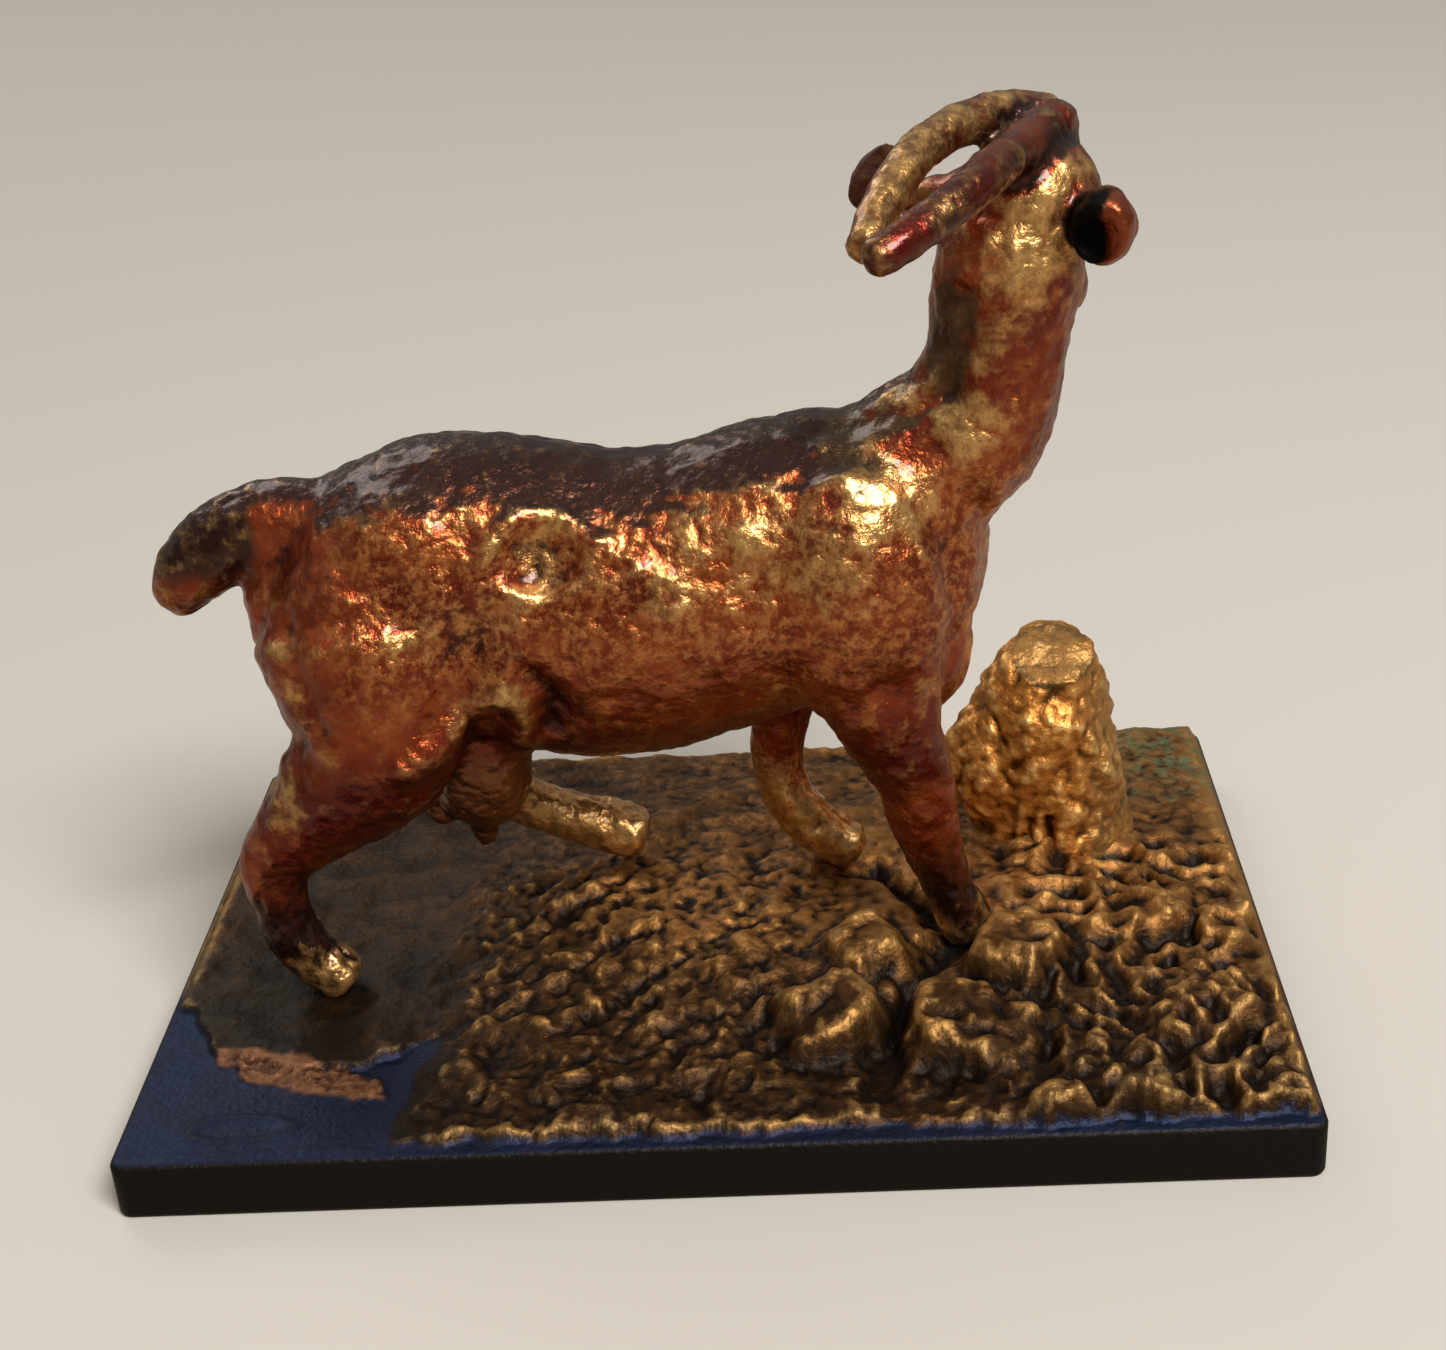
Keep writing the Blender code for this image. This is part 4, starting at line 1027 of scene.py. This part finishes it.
horned = np.maximum((0.46 + 0.25 * blotch) * on_horns[0], (0.5 + 0.35 * blotch) * on_horns[1])
from_ear = points - ear
outwards = from_ear @ np.array(-left)
from_middle = np.linalg.norm(from_ear, axis=1)
on_ear = eased((4.8 - from_middle) / 0.5)
# Painted shade: the near ear's hollow is made near black; the far ear is made near black too.
in_hollow = eased((3.9 - from_middle) / 0.4) * (1 - eased((outwards - 0.5 + 0.6 * blotch) / 0.9))
far_side = 0.8 * ears * eased((26 - x) / 2)
# Painted highlight mixed with real flecks: the mid flank is made lighter tan, partly the patina's own
# lighter flecks and partly standing for a broad soft sheen of light along the flank.
tan_and_sheen_band = eased((z - 40) / 10) * (1 - eased((z - 62) / 4)) * (1 - eased((-30 - x) / 8))
set_shares(
    goat.data,
    high=0.5 + stands_out / 0.8 + wide_relief / 8.0 - 0.42 * thin,
    gold=gold * (1 - ears) / 1.2,
    dark=np.maximum.reduce([back, 0.9 * tail_top, shins, horned]),
    black=np.maximum(far_side, in_hollow),
    olive=np.maximum(spine * (1 - eased((z - 72) / 6)), nape),
    tan=tan_and_sheen_band + 0.35 * blotch,
    belly=eased((41 - z) / 8) * eased((z - 28) / 4) + 0.2 * blotch,
    ear=on_ear * eased((outwards - 0.5 + 0.6 * blotch) / 0.9),
    udder=around_udder(points),
)

# Bronze under a red-brown iron patina, waxed by hand. The patina is thin: it keeps the gleam of
# the metal, turns purple-black on the back, and is worn through to gold on what hands touch.

material, tree, shader = new_material("waxed_red_patina_on_bronze")
place = add_node(tree, "TexCoord").outputs["Object"]
high, tan, belly, udder, dark, olive, gold, ear, black = (
    add_node(tree, "Attribute", attribute_name=name).outputs["Fac"]
    for name in ("high", "tan", "belly", "udder", "dark", "olive", "gold", "ear", "black"))
cloud, mottle, speck = (
    add_node(tree, "TexNoise", {
        "Vector": place, "Scale": 1 / (size * MM), "Detail": detail, "Roughness": roughness,
    }).outputs["Fac"]
    for size, detail, roughness in ((8, 4.0, 0.5), (2.6, 5.0, 0.65), (1.1, 4.0, 0.72)))
uneven, ragged, ragged_olive, flecked = (
    add_node(tree, "Math", {0: pattern, 1: amount, 2: share}, operation="MULTIPLY_ADD").outputs[0]
    for pattern, amount, share in (
        (speck, 0.8, high), (mottle, 0.9, dark), (mottle, 1.4, olive), (mottle, 1.3, gold)))
worn = add_node(tree, "Math", {0: uneven, 1: flecked}, operation="ADD").outputs[0]
redder = add_node(tree, "MapRange", {"Value": cloud, "From Min": 0.38, "From Max": 0.62}).outputs[0]
colour = lay_coats(tree, [
    # coat, where it lies, what lies under it, what it is
    ("red", redder, "#691a07", "#963e15"),
    ("orange", (mottle, 0.46, 0.68, 0.0, 0.8), "red", "#b0622b"),
    # Painted highlight mixed with real flecks: lighter tan over the mid flank.
    ("tan flecks", (speck, 0.42, 0.66, 0.0, tan), "orange", "#c47c40"),
    ("belly", belly, "tan flecks", "#631a07"),
    ("udder", udder, "belly", "#72411f"),
    ("hollows", (uneven, 0.30, 0.76, 1.0, 0.0), "udder", "#260a05"),
    ("back", (ragged, 0.60, 1.22, 0.0, 0.93), "hollows", "#2b1813"),
    ("olive", mottle, "#20130a", "#644a2a"),
    ("neck", (ragged_olive, 0.9, 1.5, 0.0, 0.9), "back", "olive"),
    ("gold", cloud, "#bf8540", "#efc079"),
    ("tarnish", (speck, 0.36, 0.58, 0.5, 0.0), "gold", "#7f5a2b"),
    ("wear", (worn, 1.75, 2.65, 0.0, 0.95), "neck", "tarnish"),
    ("ear", ear, "wear", "#8c3c16"),
    # Painted shade in the near ear's hollow, and a near black far ear; both are also rougher and without
    # coat.
    ("painted_hollow_shade_and_far_ear", black, "ear", "#0b0604"),
])
gloss = add_node(tree, "MapRange", {"Value": mottle, "To Min": 0.18, "To Max": 0.44}).outputs[0]
duller = add_node(tree, "Math", {0: black, 1: 0.35, 2: gloss}, operation="MULTIPLY_ADD").outputs[0]
waxed = add_node(tree, "MapRange", {"Value": black, "To Min": 0.4, "To Max": 0.0}).outputs[0]
finish_metal(tree, shader, colour, duller, grit_size=1.1, grit_depth=0.36, strength=0.9)
tree.links.new(waxed, shader.inputs["Coat Weight"])
shader.inputs["Metallic"].default_value = 0.85
shader.inputs["Coat Roughness"].default_value = 0.14
goat.data.materials.append(material)
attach(goat, "root")
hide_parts("goat_figurine")


# Studio
#
# A plain pale floor, a pale surround, a strong soft box over the goat's near shoulder for the
# gleam along its flank, and a weak broad one behind. The metal mirrors a darker floor and a
# surround that brightens upwards, so that its rounded forms show.

floor_mesh = bpy.data.meshes.new("studio_floor")
floor_shape = bmesh.new()
bmesh.ops.create_grid(floor_shape, x_segments=1, y_segments=1, size=3.0)
floor_shape.to_mesh(floor_mesh)
floor_shape.free()
floor = bpy.data.objects.new("studio_floor", floor_mesh)
bpy.context.scene.collection.objects.link(floor)
material, tree, shader = new_material("studio_floor")
reflected = add_node(tree, "LightPath").outputs["Is Glossy Ray"]
floor_colour = lay_coats(tree, [("floor", reflected, "#c4bdb2", "#978a79")])
tree.links.new(floor_colour, shader.inputs["Base Color"])
shader.inputs["Roughness"].default_value = 0.9
floor_mesh.materials.append(material)

world = bpy.data.worlds.new("studio")
world.use_nodes = True
tree = world.node_tree
pale = linear("#e6e2dc")
surround = tree.nodes["Background"]
surround.inputs["Color"].default_value = pale
surround.inputs["Strength"].default_value = 0.42
place = add_node(tree, "TexCoord").outputs["Generated"]
height = add_node(tree, "SeparateXYZ", {0: place}).outputs["Z"]
ceiling = add_node(tree, "MapRange", {"Value": height, "From Max": 0.9, "To Min": 0.12, "To Max": 0.6})
tent = add_node(tree, "Background", {"Color": pale, "Strength": ceiling.outputs[0]})
reflected = add_node(tree, "LightPath").outputs["Is Glossy Ray"]
mixed = add_node(tree, "MixShader", {0: reflected, 1: surround.outputs[0], 2: tent.outputs[0]})
tree.links.new(mixed.outputs[0], tree.nodes["World Output"].inputs["Surface"])
bpy.context.scene.world = world
LAMP_AIM = Vector((0, 0, 0.045))
LAMPS = [
    # name, place, size, watts
    ("key_box", (0.40, -0.58, 0.87), 0.42, 14.0),
    ("back_box", (-0.60, 0.80, 0.84), 0.60, 3.0),
]
for name, place, size, watts in LAMPS:
    lamp = bpy.data.objects.new(name, bpy.data.lights.new(name, "AREA"))
    lamp.data.size = size
    lamp.data.energy = watts
    lamp.location = place
    lamp.rotation_euler = (Vector(place) - LAMP_AIM).to_track_quat("Z", "Y").to_euler()
    bpy.context.scene.collection.objects.link(lamp)
bpy.context.scene.view_settings.view_transform = "Standard"
